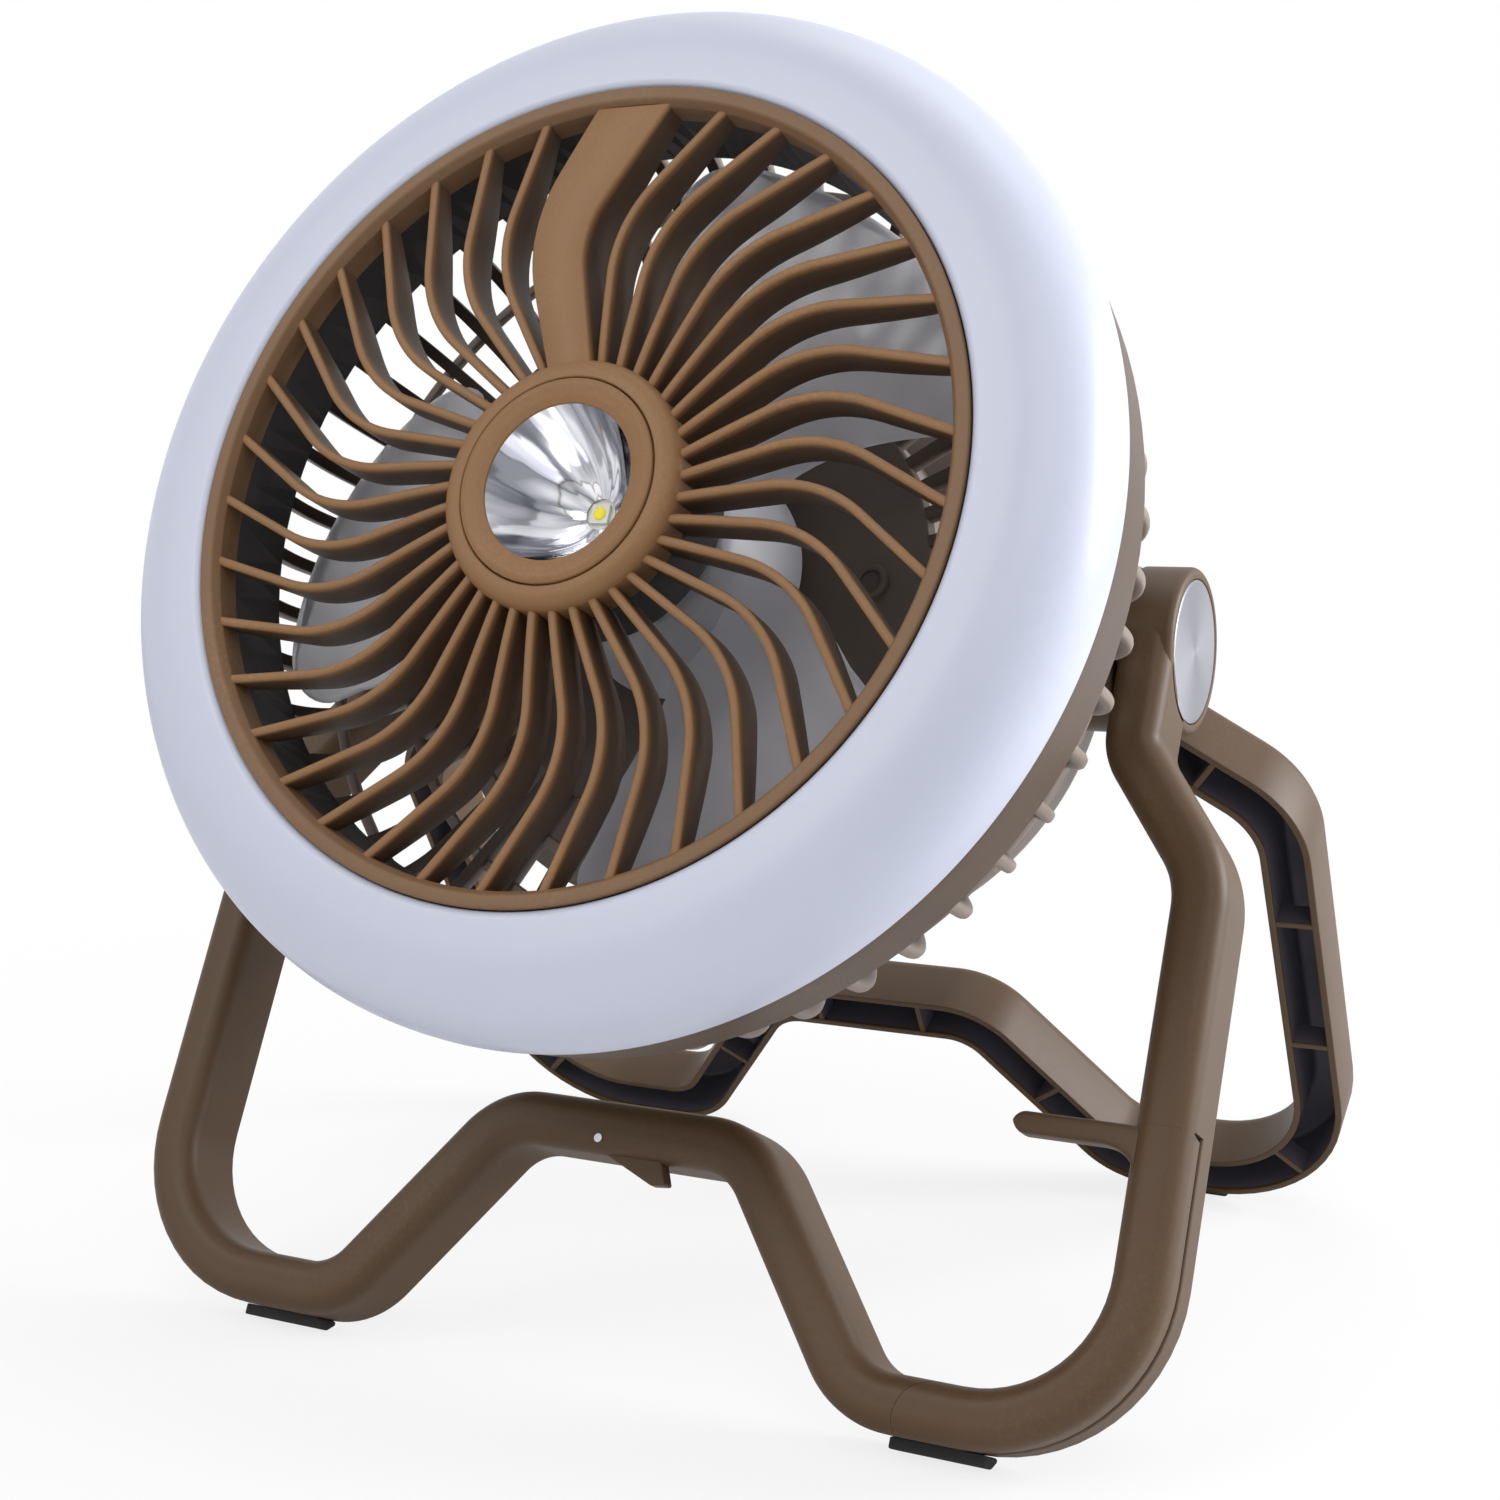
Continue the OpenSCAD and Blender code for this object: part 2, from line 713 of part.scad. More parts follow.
// solid of the drum: two round ends and a straight middle
module drum_solid(r, z0, z1, edge) {
  for (s = [-1, 1]) translate([s * drum_side, 0, 0]) rotate_extrude()
    drum_profile(r, z0, z1, edge);
  translate([-drum_side, 0, 0]) rotate([90, 0, 90])
    linear_extrude(2 * drum_side) {
      drum_profile(r, z0, z1, edge);
      mirror([1, 0]) drum_profile(r, z0, z1, edge);
    }
}
module drum_profile(r, z0, z1, edge) {
  translate([0, z0]) square([r - edge, z1 - z0]);
  translate([0, z0 + edge]) square([r, z1 - z0 - edge]);
  intersection() {
    translate([r - edge, z0 + edge]) circle(r = edge);
    translate([0, z0]) square([r, edge + eps]);
  }
}
module axis_boss() {
  both_sides() along_x(pin_end - 4, boss_face) circle(r = boss_radius);
}
module drum_housing() {
  color(taupe) in_head() difference() {
    union() {
      difference() {
        drum_solid(drum_radius, cover_front, drum_front, eps);
        drum_solid(drum_radius - drum_wall, cover_front - 1,
                   drum_front - drum_wall, eps);
      }
      ring(neck_radius, neck_radius - neck_wall, drum_front - drum_wall, plate_back);
      axis_boss();
      // posts for the cover screws
      screw_spots() disc(4, cover_front, drum_front - eps);
    }
    disc(neck_radius - neck_wall, drum_front - drum_wall - 1, plate_back + 1);
    screw_spots() disc(screw_radius, cover_front - 1, screw_reach);
    both_sides() along_x(pin_end - 5, boss_face + 1)
      circle(r = pin_radius + running);
  }
}
module drum_cover() {
  color(taupe) in_head() difference() {
    union() {
      difference() {
        drum_solid(drum_radius, -drum_back, cover_front, drum_round);
        drum_solid(drum_radius - drum_wall, cover_inner, cover_front + 1,
                   drum_round - drum_wall);
      }
      // pegs of the control board
      for (x = [-26, 26], y = [-11, 11]) translate([x, y, 0])
        disc(2.5, cover_inner - eps, control_z);
      // sleeves of the cover screws
      screw_spots() disc(3.6, cover_inner - eps, cover_front);
    }
    for (x = [-button_x, button_x]) translate([x, 4, 0])
      disc(button_radius + 0.25, -drum_back - 1, cover_inner + 1);
    for (i = [-1.5 : 1.5]) translate([i * 5, -9, 0])
      disc(1.2, -drum_back - 1, cover_inner + 1);
    block(-4.6, 4.6, -21.7, -18.3, -drum_back - 1, cover_inner + 1);
    screw_spots() {
      disc(screw_radius + 0.1, -drum_back - 1, cover_front + 1);
      disc(2.7, -drum_back - 1, -drum_back + 2);
    }
  }
}
module screw_spots() {
  for (x = [-52, 52], y = [-48, 48]) translate([x, y, 0]) children();
}
module cover_screws() {
  color(steel) in_head() screw_spots() {
    disc(2.6, -drum_back + 0.4, -drum_back + 2);
    disc(screw_radius, -drum_back + 1.9, screw_reach);
  }
}
module cage_screw_spots() {
  for (i = [0 : 3]) rotate([0, 0, cage_screw_turn + 90 * i])
    translate([cage_screw_radius, 0, 0]) children();
}
module cage_screws() {
  color(steel) in_head() cage_screw_spots() {
    disc(screw_radius, rim_back - 3 - eps, rim_back + 2);
    disc(2.4, rim_back - 4.6, rim_back - 3);
  }
}

// ---- power and controls ----
module cell_spots() {
  for (i = [0 : cell_count - 1])
    translate([0, (i - (cell_count - 1) / 2) * cell_pitch, cell_z]) children();
}
module battery_cells() {
  color([0.2, 0.35, 0.55]) in_head() cell_spots()
    along_x(-cell_length / 2, cell_length / 2) circle(r = cell_radius);
}
module cell_holder() {
  color(dark) in_head() difference() {
    union() {
      block(-cell_length / 2 - 3, cell_length / 2 + 3, -holder_half, holder_half,
            cell_z + cell_radius - 4, cell_z + cell_radius + 2);
      for (x = [-1, 1], y = [-1, 1])
        translate([x * (cell_length / 2 + 4), y * (holder_half + 2), 0])
          disc(5, cell_z + cell_radius - 4, drum_front - drum_wall);
    }
    cell_spots() along_x(-cell_length / 2, cell_length / 2)
      circle(r = cell_radius);
  }
}
module control_board() {
  color([0.12, 0.3, 0.18]) in_head()
    block(-32, 32, -16, 16, control_z, control_z + board_thickness);
}
module push_button(x) {
  color(dark) in_head() translate([x, 4, 0]) {
    disc(button_radius, -drum_back - 1.2, cover_inner + 0.1);
    disc(button_radius + 1.4, cover_inner, cover_inner + 0.7);
  }
}
module fan_button() {
  push_button(-button_x);
}
module light_button() {
  push_button(button_x);
}
module charge_lights() {
  color([0.8, 0.85, 0.9]) in_head() for (i = [-1.5 : 1.5])
    translate([i * 5, -9, 0]) disc(1.2, -drum_back - 0.2, cover_inner);
}
module charge_socket() {
  color(steel) in_head() difference() {
    block(-4.6, 4.6, -21.7, -18.3, -drum_back, cover_inner + 5);
    block(-4.1, 4.1, -21.2, -18.8, -drum_back - 1, cover_inner + 3);
  }
}

// ---- motor and fan ----
module motor_can() {
  color(steel) in_head() difference() {
    disc(motor_radius, motor_back, plate_back);
    disc(motor_radius - 1.6, motor_back + 7.4, plate_back - 7.4);
    disc(8, motor_back + 2, plate_back - 2);
    disc(shaft_radius + 1, motor_back - 1, plate_back + 1);
  }
}
module motor_coils() {
  color([0.62, 0.34, 0.16]) in_head()
    ring(motor_radius - 1.6, 12.6, motor_back + 8, plate_back - 8);
}
module motor_bearings() {
  color(steel) in_head() {
    ring(8, shaft_radius + running, motor_back + 2, motor_back + 7);
    ring(8, shaft_radius + running, plate_back - 7, plate_back - 2);
  }
}
module motor_shaft() {
  color(steel) in_head() disc(shaft_radius, motor_back + 1, fan_front - 4);
}
module motor_magnet() {
  color(dark) in_head() ring(12, shaft_radius, motor_back + 8.4, plate_back - 8.4);
}
// plan of one blade: share of the blade's height above the hub and angle of
// the edge there, down the trailing edge, round the tip and up the leading one
blade_edge = [[-0.17, -18], [0.19, -28], [0.38, -32], [0.6, -35.5], [0.73, -37],
              [0.84, -34], [0.93, -27], [0.98, -19], [1, -10], [1, 6], [0.99, 17],
              [0.95, 25], [0.86, 30], [0.65, 32], [0.48, 36], [0.25, 44],
              [-0.17, 60]];
module blade_plan() {
  polygon([for (e = blade_edge)
    let (r = fan_hub_radius + e[0] * (blade_radius - fan_hub_radius))
    r * [cos(e[1]), sin(e[1])]]);
}
// half outline of the hub cone, made smaller by t
module hub_cone(t) {
  polygon([[0, fan_back - t], [fan_hub_radius - t, fan_back - t],
           [fan_nose - t, fan_front - 2], [fan_nose - 2, fan_front - t],
           [0, fan_front - t]]);
}
module impeller() {
  curve = 220;
  rise = 11;
  low = fan_back + 10;
  color([0.6, 0.63, 0.66]) in_head() difference() {
    union() {
      rotate_extrude() difference() {
        hub_cone(0);
        hub_cone(fan_wall);
      }
      disc(6, fan_back, fan_front - 1);
      // the blades are cut from a rising curved sheet
      for (i = [0 : blade_count - 1])
        rotate([0, 0, rotor_turn + i * 360 / blade_count]) difference() {
          intersection() {
            translate([0, 0, fan_back]) linear_extrude(fan_front - fan_back + 16)
              blade_plan();
            translate([0, 0, low]) rotate([blade_pitch, 0, 0])
              rotate([0, 90 - rise, 0]) translate([curve, 0, 0]) difference() {
                cylinder(r = curve, h = 2 * blade_radius, center = true);
                cylinder(r = curve - blade_thickness, h = 2 * blade_radius + 2,
                         center = true);
              }
          }
          rotate_extrude() hub_cone(fan_wall / 2);
        }
    }
    disc(shaft_radius, fan_back - 1, fan_front - 4);
  }
}

front_frame();
rear_frame();
front_feet();
rear_feet();
hanging_hook();
hook_pin();
frame_catch();
catch_pin();
pivot_caps();
pivot_pins();
front_washers();
rear_washers();
head_rim();
light_diffuser();
ring_board();
ring_emitters();
front_grille();
spot_bezel();
spot_reflector();
spot_board();
spot_emitter();
air_duct();
rear_cage();
drum_housing();
drum_cover();
cell_holder();
battery_cells();
control_board();
fan_button();
light_button();
charge_lights();
charge_socket();
motor_can();
motor_coils();
motor_bearings();
motor_shaft();
motor_magnet();
impeller();
cover_screws();
cage_screws();
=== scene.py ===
import json
import math

import bpy
import bmesh
import numpy as np
from mathutils import Matrix, Vector


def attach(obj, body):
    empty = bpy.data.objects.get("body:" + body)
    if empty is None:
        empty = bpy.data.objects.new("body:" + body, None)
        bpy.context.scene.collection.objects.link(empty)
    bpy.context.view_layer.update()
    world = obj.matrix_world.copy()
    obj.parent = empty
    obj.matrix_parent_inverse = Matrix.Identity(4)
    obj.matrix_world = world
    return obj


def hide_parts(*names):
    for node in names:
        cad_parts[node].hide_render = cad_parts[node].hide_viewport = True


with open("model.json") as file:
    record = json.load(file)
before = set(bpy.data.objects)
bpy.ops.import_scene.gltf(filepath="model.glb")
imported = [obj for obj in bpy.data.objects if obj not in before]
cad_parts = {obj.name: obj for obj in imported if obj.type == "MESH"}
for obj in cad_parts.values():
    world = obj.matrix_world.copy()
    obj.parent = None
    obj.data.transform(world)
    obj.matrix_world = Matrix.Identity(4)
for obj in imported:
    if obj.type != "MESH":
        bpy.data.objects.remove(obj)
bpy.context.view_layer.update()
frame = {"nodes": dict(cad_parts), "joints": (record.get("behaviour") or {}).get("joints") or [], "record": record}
nodes = frame["nodes"]
joints = {joint["name"]: joint for joint in frame["joints"]}
scene = bpy.context.scene
mm = 0.001

# the tilt axis and the directions of the head and of the front leg
tiltPoint = np.array(joints["head_tilt"]["pos_m"])
headAxis = np.array(joints["rotor_spin"]["axis"], float)
headAxis /= np.linalg.norm(headAxis)
legAxis = np.array(joints["hook_swing"]["axis"], float)
legAxis /= np.linalg.norm(legAxis)
rearAxis = legAxis * [1.0, -1.0, 1.0]


# millimetres across, up and along an axis, to metres in the frame
def toFrame(axis, across, up, along):
    upWay = np.array([0.0, axis[2], -axis[1]]) * math.copysign(1.0, -axis[1])
    across, up, along = np.broadcast_arrays(across, up, along)
    return (tiltPoint + mm * (across[..., None] * np.array([1.0, 0.0, 0.0])
                              + up[..., None] * upWay
                              + along[..., None] * axis))


def toHead(across, up, along):
    return toFrame(headAxis, across, up, along)


def polar(radius, angle, along):
    # radius and angle about the head axis, angle from the right, anticlockwise
    return toHead(radius * np.cos(angle), radius * np.sin(angle), along)


def turnedCopies(x, y, along, turns):
    # one copy of the grid for each turn about the head axis, in radians
    turns = turns[:, None, None]
    return toHead(x * np.cos(turns) - y * np.sin(turns),
                  x * np.sin(turns) + y * np.cos(turns), along)


# points are (copies, rows, columns, 3); a closed grid joins its last line to
# its first, and capped rows get one flat face at each end
def gridPiece(name, points, closeRows=False, closeColumns=False, capped=False,
              sharpAngle=40, merge=False, paintedShade=None):
    if points.ndim == 3:
        points = points[None]
    copies, rows, columns = points.shape[:3]
    index = np.arange(rows * columns).reshape(rows, columns)
    across = np.vstack([index, index[:1]]) if closeRows else index
    across = np.hstack([across, across[:, :1]]) if closeColumns else across
    quads = np.stack([across[:-1, :-1], across[1:, :-1],
                      across[1:, 1:], across[:-1, 1:]], -1).reshape(-1, 4)
    # the signed volume tells which way the faces look
    first = points[0].reshape(-1, 3)
    centre = first.mean(0)
    a, b, c, d = (first[quads[:, i]] - centre for i in range(4))
    volume = (np.einsum("ij,ij->i", a, np.cross(b, c)).sum()
              + np.einsum("ij,ij->i", a, np.cross(c, d)).sum())
    lids = [index[0][::-1], index[-1]] if capped else []
    if volume < 0:
        quads = quads[:, ::-1]
        lids = [lid[::-1] for lid in lids]
    offsets = np.arange(copies) * rows * columns
    faces = (quads[None] + offsets[:, None, None]).reshape(-1, 4).tolist()
    for lid in lids:
        faces += (lid[None] + offsets[:, None]).tolist()
    mesh = bpy.data.meshes.new(name)
    mesh.from_pydata(points.reshape(-1, 3), [], faces)
    if merge:
        work = bmesh.new()
        work.from_mesh(mesh)
        bmesh.ops.remove_doubles(work, verts=work.verts, dist=1e-7)
        bmesh.ops.recalc_face_normals(work, faces=work.faces)
        work.to_mesh(mesh)
        work.free()
    mesh.update()
    mesh.shade_smooth()
    mesh.set_sharp_from_angle(angle=math.radians(sharpAngle))
    if paintedShade is not None:
        # how much painted shade each vertex takes, deeper in a hollow or on a shaded side, read by the finish
        values = np.broadcast_to(paintedShade, points.shape[:3]).astype(np.float32)
        layer = mesh.attributes.new("paintedShade", "FLOAT", "POINT")
        layer.data.foreach_set("value", values.ravel())
    piece = bpy.data.objects.new(name, mesh)
    scene.collection.objects.link(piece)
    return piece


# a closed outline with its corners rounded: corners are (x, y, radius), and each
# becomes an arc of that radius which touches both of its sides
def roundedLoop(corners, steps=5):
    corners = np.array(corners, float)
    points = []
    for i, (x, y, radius) in enumerate(corners):
        here = np.array([x, y])
        before = corners[i - 1, :2] - here
        after = corners[(i + 1) % len(corners), :2] - here
        before, after = before / np.linalg.norm(before), after / np.linalg.norm(after)
        half = math.acos(np.clip(before @ after, -1, 1)) / 2
        if radius <= 0 or half > 1.56:
            points.append(here[None])
            continue
        reach = radius / math.tan(half)
        middle = (before + after) / np.linalg.norm(before + after)
        centre = here + middle * radius / math.sin(half)
        start = here + before * reach - centre
        end = here + after * reach - centre
        turn = math.pi - 2 * half
        t = np.linspace(0, 1, steps + 1)[:, None]
        points.append(centre + (np.sin((1 - t) * turn) * start
                                + np.sin(t * turn) * end) / math.sin(turn))
    return np.vstack(points)


# a loop of (radius, level) turned about the head axis
def turnedPiece(name, loop, steps=192, closed=True, **more):
    angle = np.linspace(0, 2 * math.pi, steps, endpoint=False)[:, None]
    points = polar(loop[None, :, 0], angle, loop[None, :, 1])
    return gridPiece(name, points, closeRows=True, closeColumns=closed, **more)


# a socket that takes part in sums: every operator adds its Math node
class Wire:
    def __init__(self, tree, socket):
        self.tree, self.socket = tree, socket

    # any other node: its type, its settings, then values or links by input
    def node(self, kind, settings=None, inputs=None, output=0):
        made = self.tree.nodes.new(kind)
        for key, value in (settings or {}).items():
            setattr(made, key, value)
        for key, value in (inputs or {}).items():
            if isinstance(value, Wire):
                self.tree.links.new(value.socket, made.inputs[key])
            else:
                made.inputs[key].default_value = value
        return Wire(self.tree, made.outputs[output])

    def maths(self, operation, *values):
        return self.node("ShaderNodeMath", {"operation": operation},
                         dict(enumerate(values)))

    def __add__(self, other): return self.maths("ADD", self, other)
    def __radd__(self, other): return self.maths("ADD", other, self)
    def __sub__(self, other): return self.maths("SUBTRACT", self, other)
    def __rsub__(self, other): return self.maths("SUBTRACT", other, self)
    def __mul__(self, other): return self.maths("MULTIPLY", self, other)
    def __rmul__(self, other): return self.maths("MULTIPLY", other, self)
    def __truediv__(self, other): return self.maths("DIVIDE", self, other)
    def __rtruediv__(self, other): return self.maths("DIVIDE", other, self)

    def root(self):
        return self.maths("SQRT", self)

    def sine(self):
        return self.maths("SINE", self)

    # the angle of the point (across, self), from the right, anticlockwise
    def turnOver(self, across):
        return self.maths("ARCTAN2", self, across)

    def clipped(self, low=0.0, high=1.0):
        return self.maths("MINIMUM", self.maths("MAXIMUM", self, low), high)

    # 0 below low, 1 above high
    def between(self, low, high):
        return ((self - low) / (high - low)).clipped()

    def mixed(self, a, b):
        return self.node("ShaderNodeMix", {"data_type": "RGBA"},
                         {0: self, 6: a, 7: b}, output=2)

    def part(self, name):
        return self.node("ShaderNodeSeparateXYZ", {}, {0: self}, output="XYZ".index(name))

    def noise(self, scale, detail=2.0, roughness=0.5):
        return self.node("ShaderNodeTexNoise", {}, {
            "Vector": self, "Scale": scale, "Detail": detail, "Roughness": roughness})

    # a bump with this height, for a Normal socket; the distance is in metres
    def bump(self, strength, distance):
        return self.node("ShaderNodeBump", {}, {
            "Strength": strength, "Distance": distance, "Height": self})


def startFinish(name):
    material = bpy.data.materials.new(name)
    material.use_nodes = True
    tree = material.node_tree
    shader = tree.nodes["Principled BSDF"]
    place = Wire(tree, tree.nodes.new("ShaderNodeTexCoord").outputs["Object"])
    return material, tree, shader, place


def drive(tree, shader, **wires):
    # varying inputs are linked, constants are set on the shader itself
    for key, value in wires.items():
        socket = shader.inputs[key.replace("_", " ")]
        if isinstance(value, Wire):
            tree.links.new(value.socket, socket)
        else:
            socket.default_value = value


def colour(red, green, blue):
    return (red, green, blue, 1.0)


mouldedFinish = {"grain": 2600.0, "cloud": 22.0, "speck": 900.0}


# moulded plastic with a fine eroded texture, faint flow clouds and rubbed spots
def mouldedPlastic(name, tone, light, roughness=0.5, grainDepth=0.12, specular=0.35,
                   paintedShadeTone=None):
    material, tree, shader, place = startFinish(name)
    cloud = place.noise(mouldedFinish["cloud"], 3.0)
    speck = place.noise(mouldedFinish["speck"], 3.0, 0.6)
    grain = place.noise(mouldedFinish["grain"], 2.0, 0.6)
    rubbed = cloud.between(0.5, 0.72) * speck.between(0.48, 0.7)
    shade = (cloud * 0.35 + speck * 0.3 + grain * 0.35 + rubbed * 0.35).clipped()
    tint = shade.mixed(colour(*tone), colour(*light))
    # painted shade: where a piece marks its vertices, the tint gives way to a tone that stands for shade
    if paintedShadeTone:
        paintedShade = place.node("ShaderNodeAttribute", {"attribute_name": "paintedShade"}, output=2)
        tint = paintedShade.mixed(tint, colour(*paintedShadeTone))
    drive(tree, shader,
          Base_Color=tint,
          Roughness=(roughness - 0.06 + 0.1 * speck - 0.08 * rubbed).clipped(0.05, 1.0),
          Normal=(grain * 0.7 + speck * 0.3).bump(grainDepth, 0.0003),
          Specular_IOR_Level=specular)
    return material


# thick milky plastic with a faint haze, lit a little from inside itself
def milkyPlastic(name, tone, light):
    material, tree, shader, place = startFinish(name)
    cloud = place.noise(9.0, 2.0)
    haze = place.noise(160.0, 3.0, 0.6)
    shade = (cloud * 0.6 + haze * 0.4).clipped()
    drive(tree, shader,
          Base_Color=shade.mixed(colour(*tone), colour(*light)),
          Roughness=0.34 + 0.08 * haze,
          Normal=haze.bump(0.03, 0.0004),
          Subsurface_Weight=0.12,
          Subsurface_Radius=(0.006, 0.006, 0.008),
          Subsurface_Scale=1.0)
    return material


# half clear plastic with uneven depth of tint
def tintedPlastic(name, tone, light):
    material, tree, shader, place = startFinish(name)
    cloud = place.noise(22.0, 2.0)
    fine = place.noise(700.0, 2.0)
    drive(tree, shader,
          Base_Color=cloud.between(0.3, 0.7).mixed(colour(*tone), colour(*light)),
          Roughness=0.30 + 0.1 * fine,
          Normal=(cloud * 0.6 + fine * 0.4).bump(0.05, 0.0003),
          Transmission_Weight=0.5,
          IOR=1.3)
    return material


# turned or drawn metal, finely scratched and cloudy
def plainMetal(name, tone, roughness, scratch=900.0, depth=0.05):
    material, tree, shader, place = startFinish(name)
    fine = place.noise(scratch, 3.0, 0.6)
    broad = place.noise(40.0, 2.0)
    dark = colour(*[0.82 * value for value in tone])
    drive(tree, shader,
          Base_Color=(broad * 0.6 + fine * 0.4).clipped().mixed(dark, colour(*tone)),
          Roughness=(roughness + 0.12 * (fine - 0.5)).clipped(0.03, 1.0),
          Normal=fine.bump(depth, 0.0002),
          Metallic=1.0)
    return material


# spun metal: fine rings about the tilt axis, and soft fans of light painted into its colour as painted highlights
def spunMetal(name, tone, light):
    material, tree, shader, place = startFinish(name)
    y = place.part("Y") - float(tiltPoint[1])
    z = place.part("Z") - float(tiltPoint[2])
    rings = ((y * y + z * z).root() * 21000.0).sine()
    uneven = place.noise(1500.0, 2.0)
    # painted highlight: lighter fans by the angle about the tilt axis
    fan = (z.turnOver(y) * 2.0 + 1.1).sine() * 0.5 + 0.5
    drive(tree, shader,
          Base_Color=(fan * 0.75 + uneven * 0.25).clipped().mixed(
              colour(*tone), colour(*light)),
          Roughness=0.30 + 0.1 * uneven,
          Normal=(rings * 0.5 + uneven * 0.5).bump(0.25, 0.00008),
          Metallic=1.0)
    return material


# vacuum-coated bowl: a mirror with broad streaks that fan out from its middle; they are a bump, and also dark
# painted reflections in its colour
def mirrorCoat(name, tone, light):
    material, tree, shader, place = startFinish(name)
    offset = place.node("ShaderNodeVectorMath", {"operation": "SUBTRACT"}, {
        0: place, 1: tuple(tiltPoint)})
    up = offset.node("ShaderNodeVectorMath", {"operation": "DOT_PRODUCT"}, {
        0: offset, 1: (0.0, headAxis[2], -headAxis[1])}, output=1)
    across = offset.part("X")
    radius = (up * up + across * across).root()
    fan = place.node("ShaderNodeCombineXYZ", {}, {
        0: up.turnOver(across) * 0.9, 1: radius * 28.0, 2: 0.3})
    streakAndPaintedReflection = fan.noise(1.9, 1.5, 0.5)
    fine = place.noise(1400.0, 2.0)
    drive(tree, shader,
          Base_Color=streakAndPaintedReflection.between(0.40, 0.56).mixed(colour(*tone), colour(*light)),
          Roughness=0.06 + 0.04 * fine,
          Normal=streakAndPaintedReflection.bump(0.35, 0.0022),
          Metallic=1.0)
    return material


# dull rubber with a little dust in its grain
def softRubber(name, tone):
    material, tree, shader, place = startFinish(name)
    fine = place.noise(1500.0, 3.0, 0.6)
    dust = place.noise(60.0, 3.0)
    light = colour(*[min(1.0, value * 2.2 + 0.01) for value in tone])
    drive(tree, shader,
          Base_Color=(dust.between(0.45, 0.8) * 0.7 * fine).mixed(colour(*tone), light),
          Roughness=0.68 + 0.15 * fine,
          Normal=fine.bump(0.15, 0.0003))
    return material


# the grainy coat of a light emitter
def phosphor(name, tone, light):
    material, tree, shader, place = startFinish(name)
    fine = place.noise(2500.0, 2.0)
    drive(tree, shader,
          Base_Color=fine.mixed(colour(*tone), colour(*light)),
          Roughness=0.45 + 0.1 * fine,
          Normal=fine.bump(0.1, 0.0002))
    return material


# painted shade tones (last argument): the shell's darker brown on the vanes' sides, the legs' navy grey inside
# their channel, the cage's darker brown under its ribs
brown = mouldedPlastic("brownShell", (0.180, 0.090, 0.034), (0.305, 0.160, 0.070),
                       paintedShadeTone=(0.090, 0.050, 0.027))
rimTan = mouldedPlastic("rimTan", (0.130, 0.069, 0.031), (0.230, 0.128, 0.063))
legBrown = mouldedPlastic("legBrown", (0.056, 0.029, 0.012), (0.112, 0.063, 0.029),
                          paintedShadeTone=(0.085, 0.080, 0.100))
rimBrown = mouldedPlastic("rimBrown", (0.064, 0.041, 0.028), (0.115, 0.078, 0.054))
taupe = mouldedPlastic("taupeShell", (0.240, 0.200, 0.178), (0.330, 0.282, 0.258))
cageBrown = mouldedPlastic("cageBrown", (0.220, 0.172, 0.145), (0.300, 0.245, 0.212),
                           paintedShadeTone=(0.070, 0.048, 0.036))
# painted shade: the plate deep in the head is a darker copy of the cage's brown
plateShadeBrown = mouldedPlastic("plateShadeBrown", (0.078, 0.058, 0.047), (0.124, 0.096, 0.078))
darkShell = mouldedPlastic("darkShell", (0.022, 0.019, 0.019), (0.040, 0.035, 0.034),
                           roughness=0.5)
milky = milkyPlastic("milkyDome", (0.53, 0.56, 0.69), (0.575, 0.605, 0.735))
tinted = tintedPlastic("tintedBlade", (0.78, 0.78, 0.83), (0.94, 0.94, 0.98))
spun = spunMetal("spunCap", (0.24, 0.245, 0.275), (0.44, 0.44, 0.475))
steel = plainMetal("plainSteel", (0.46, 0.46, 0.48), 0.36)
mirror = mirrorCoat("mirrorBowl", (0.30, 0.31, 0.34), (0.92, 0.92, 0.95))
rubber = softRubber("softFoot", (0.020, 0.020, 0.021))
keyRubber = softRubber("keyRubber", (0.030, 0.028, 0.028))
boardWhite = mouldedPlastic("boardWhite", (0.70, 0.70, 0.66), (0.80, 0.80, 0.76), 0.42)
boardGreen = mouldedPlastic("boardGreen", (0.015, 0.10, 0.05), (0.03, 0.15, 0.07), 0.38)
yellow = phosphor("yellowPhosphor", (0.90, 0.72, 0.02), (1.0, 0.88, 0.06))
copper = plainMetal("windingWire", (0.72, 0.34, 0.16), 0.34, scratch=2200.0, depth=0.3)
iron = plainMetal("magnetIron", (0.16, 0.16, 0.17), 0.5)
wrap = mouldedPlastic("cellWrap", (0.03, 0.09, 0.30), (0.05, 0.13, 0.38), 0.3)
pale = mouldedPlastic("paleBase", (0.62, 0.62, 0.58), (0.72, 0.72, 0.68), 0.35)

nodeFinish = {
    brown: ["front_grille", "spot_bezel"],
    rimBrown: ["head_rim"],
    legBrown: ["front_frame", "rear_frame", "hanging_hook", "frame_catch"],
    taupe: ["drum_housing", "drum_cover"],
    cageBrown: ["rear_cage"],
    pale: ["spot_emitter"],
    # painted shade: the air duct's liner, brown like the shell, takes this near black finish where it lies in
    # shade
    darkShell: ["air_duct", "front_washers", "rear_washers", "cell_holder"],
    milky: ["light_diffuser", "charge_lights"],
    tinted: ["impeller"],
    spun: ["pivot_caps"],
    steel: ["pivot_pins", "hook_pin", "catch_pin", "motor_can", "motor_bearings",
            "motor_shaft", "cover_screws", "cage_screws", "charge_socket"],
    mirror: ["spot_reflector"],
    rubber: ["front_feet", "rear_feet"],
    keyRubber: ["fan_button", "light_button"],
    boardWhite: ["ring_board", "spot_board"],
    boardGreen: ["control_board"],
    yellow: ["ring_emitters"],
    copper: ["motor_coils"],
    iron: ["motor_magnet"],
    wrap: ["battery_cells"],
}
finishOf = {name: material for material, names in nodeFinish.items() for name in names}
record = frame["record"]
slotOf = {part["node"]: part["material_slot"] for part in record["subparts"]}
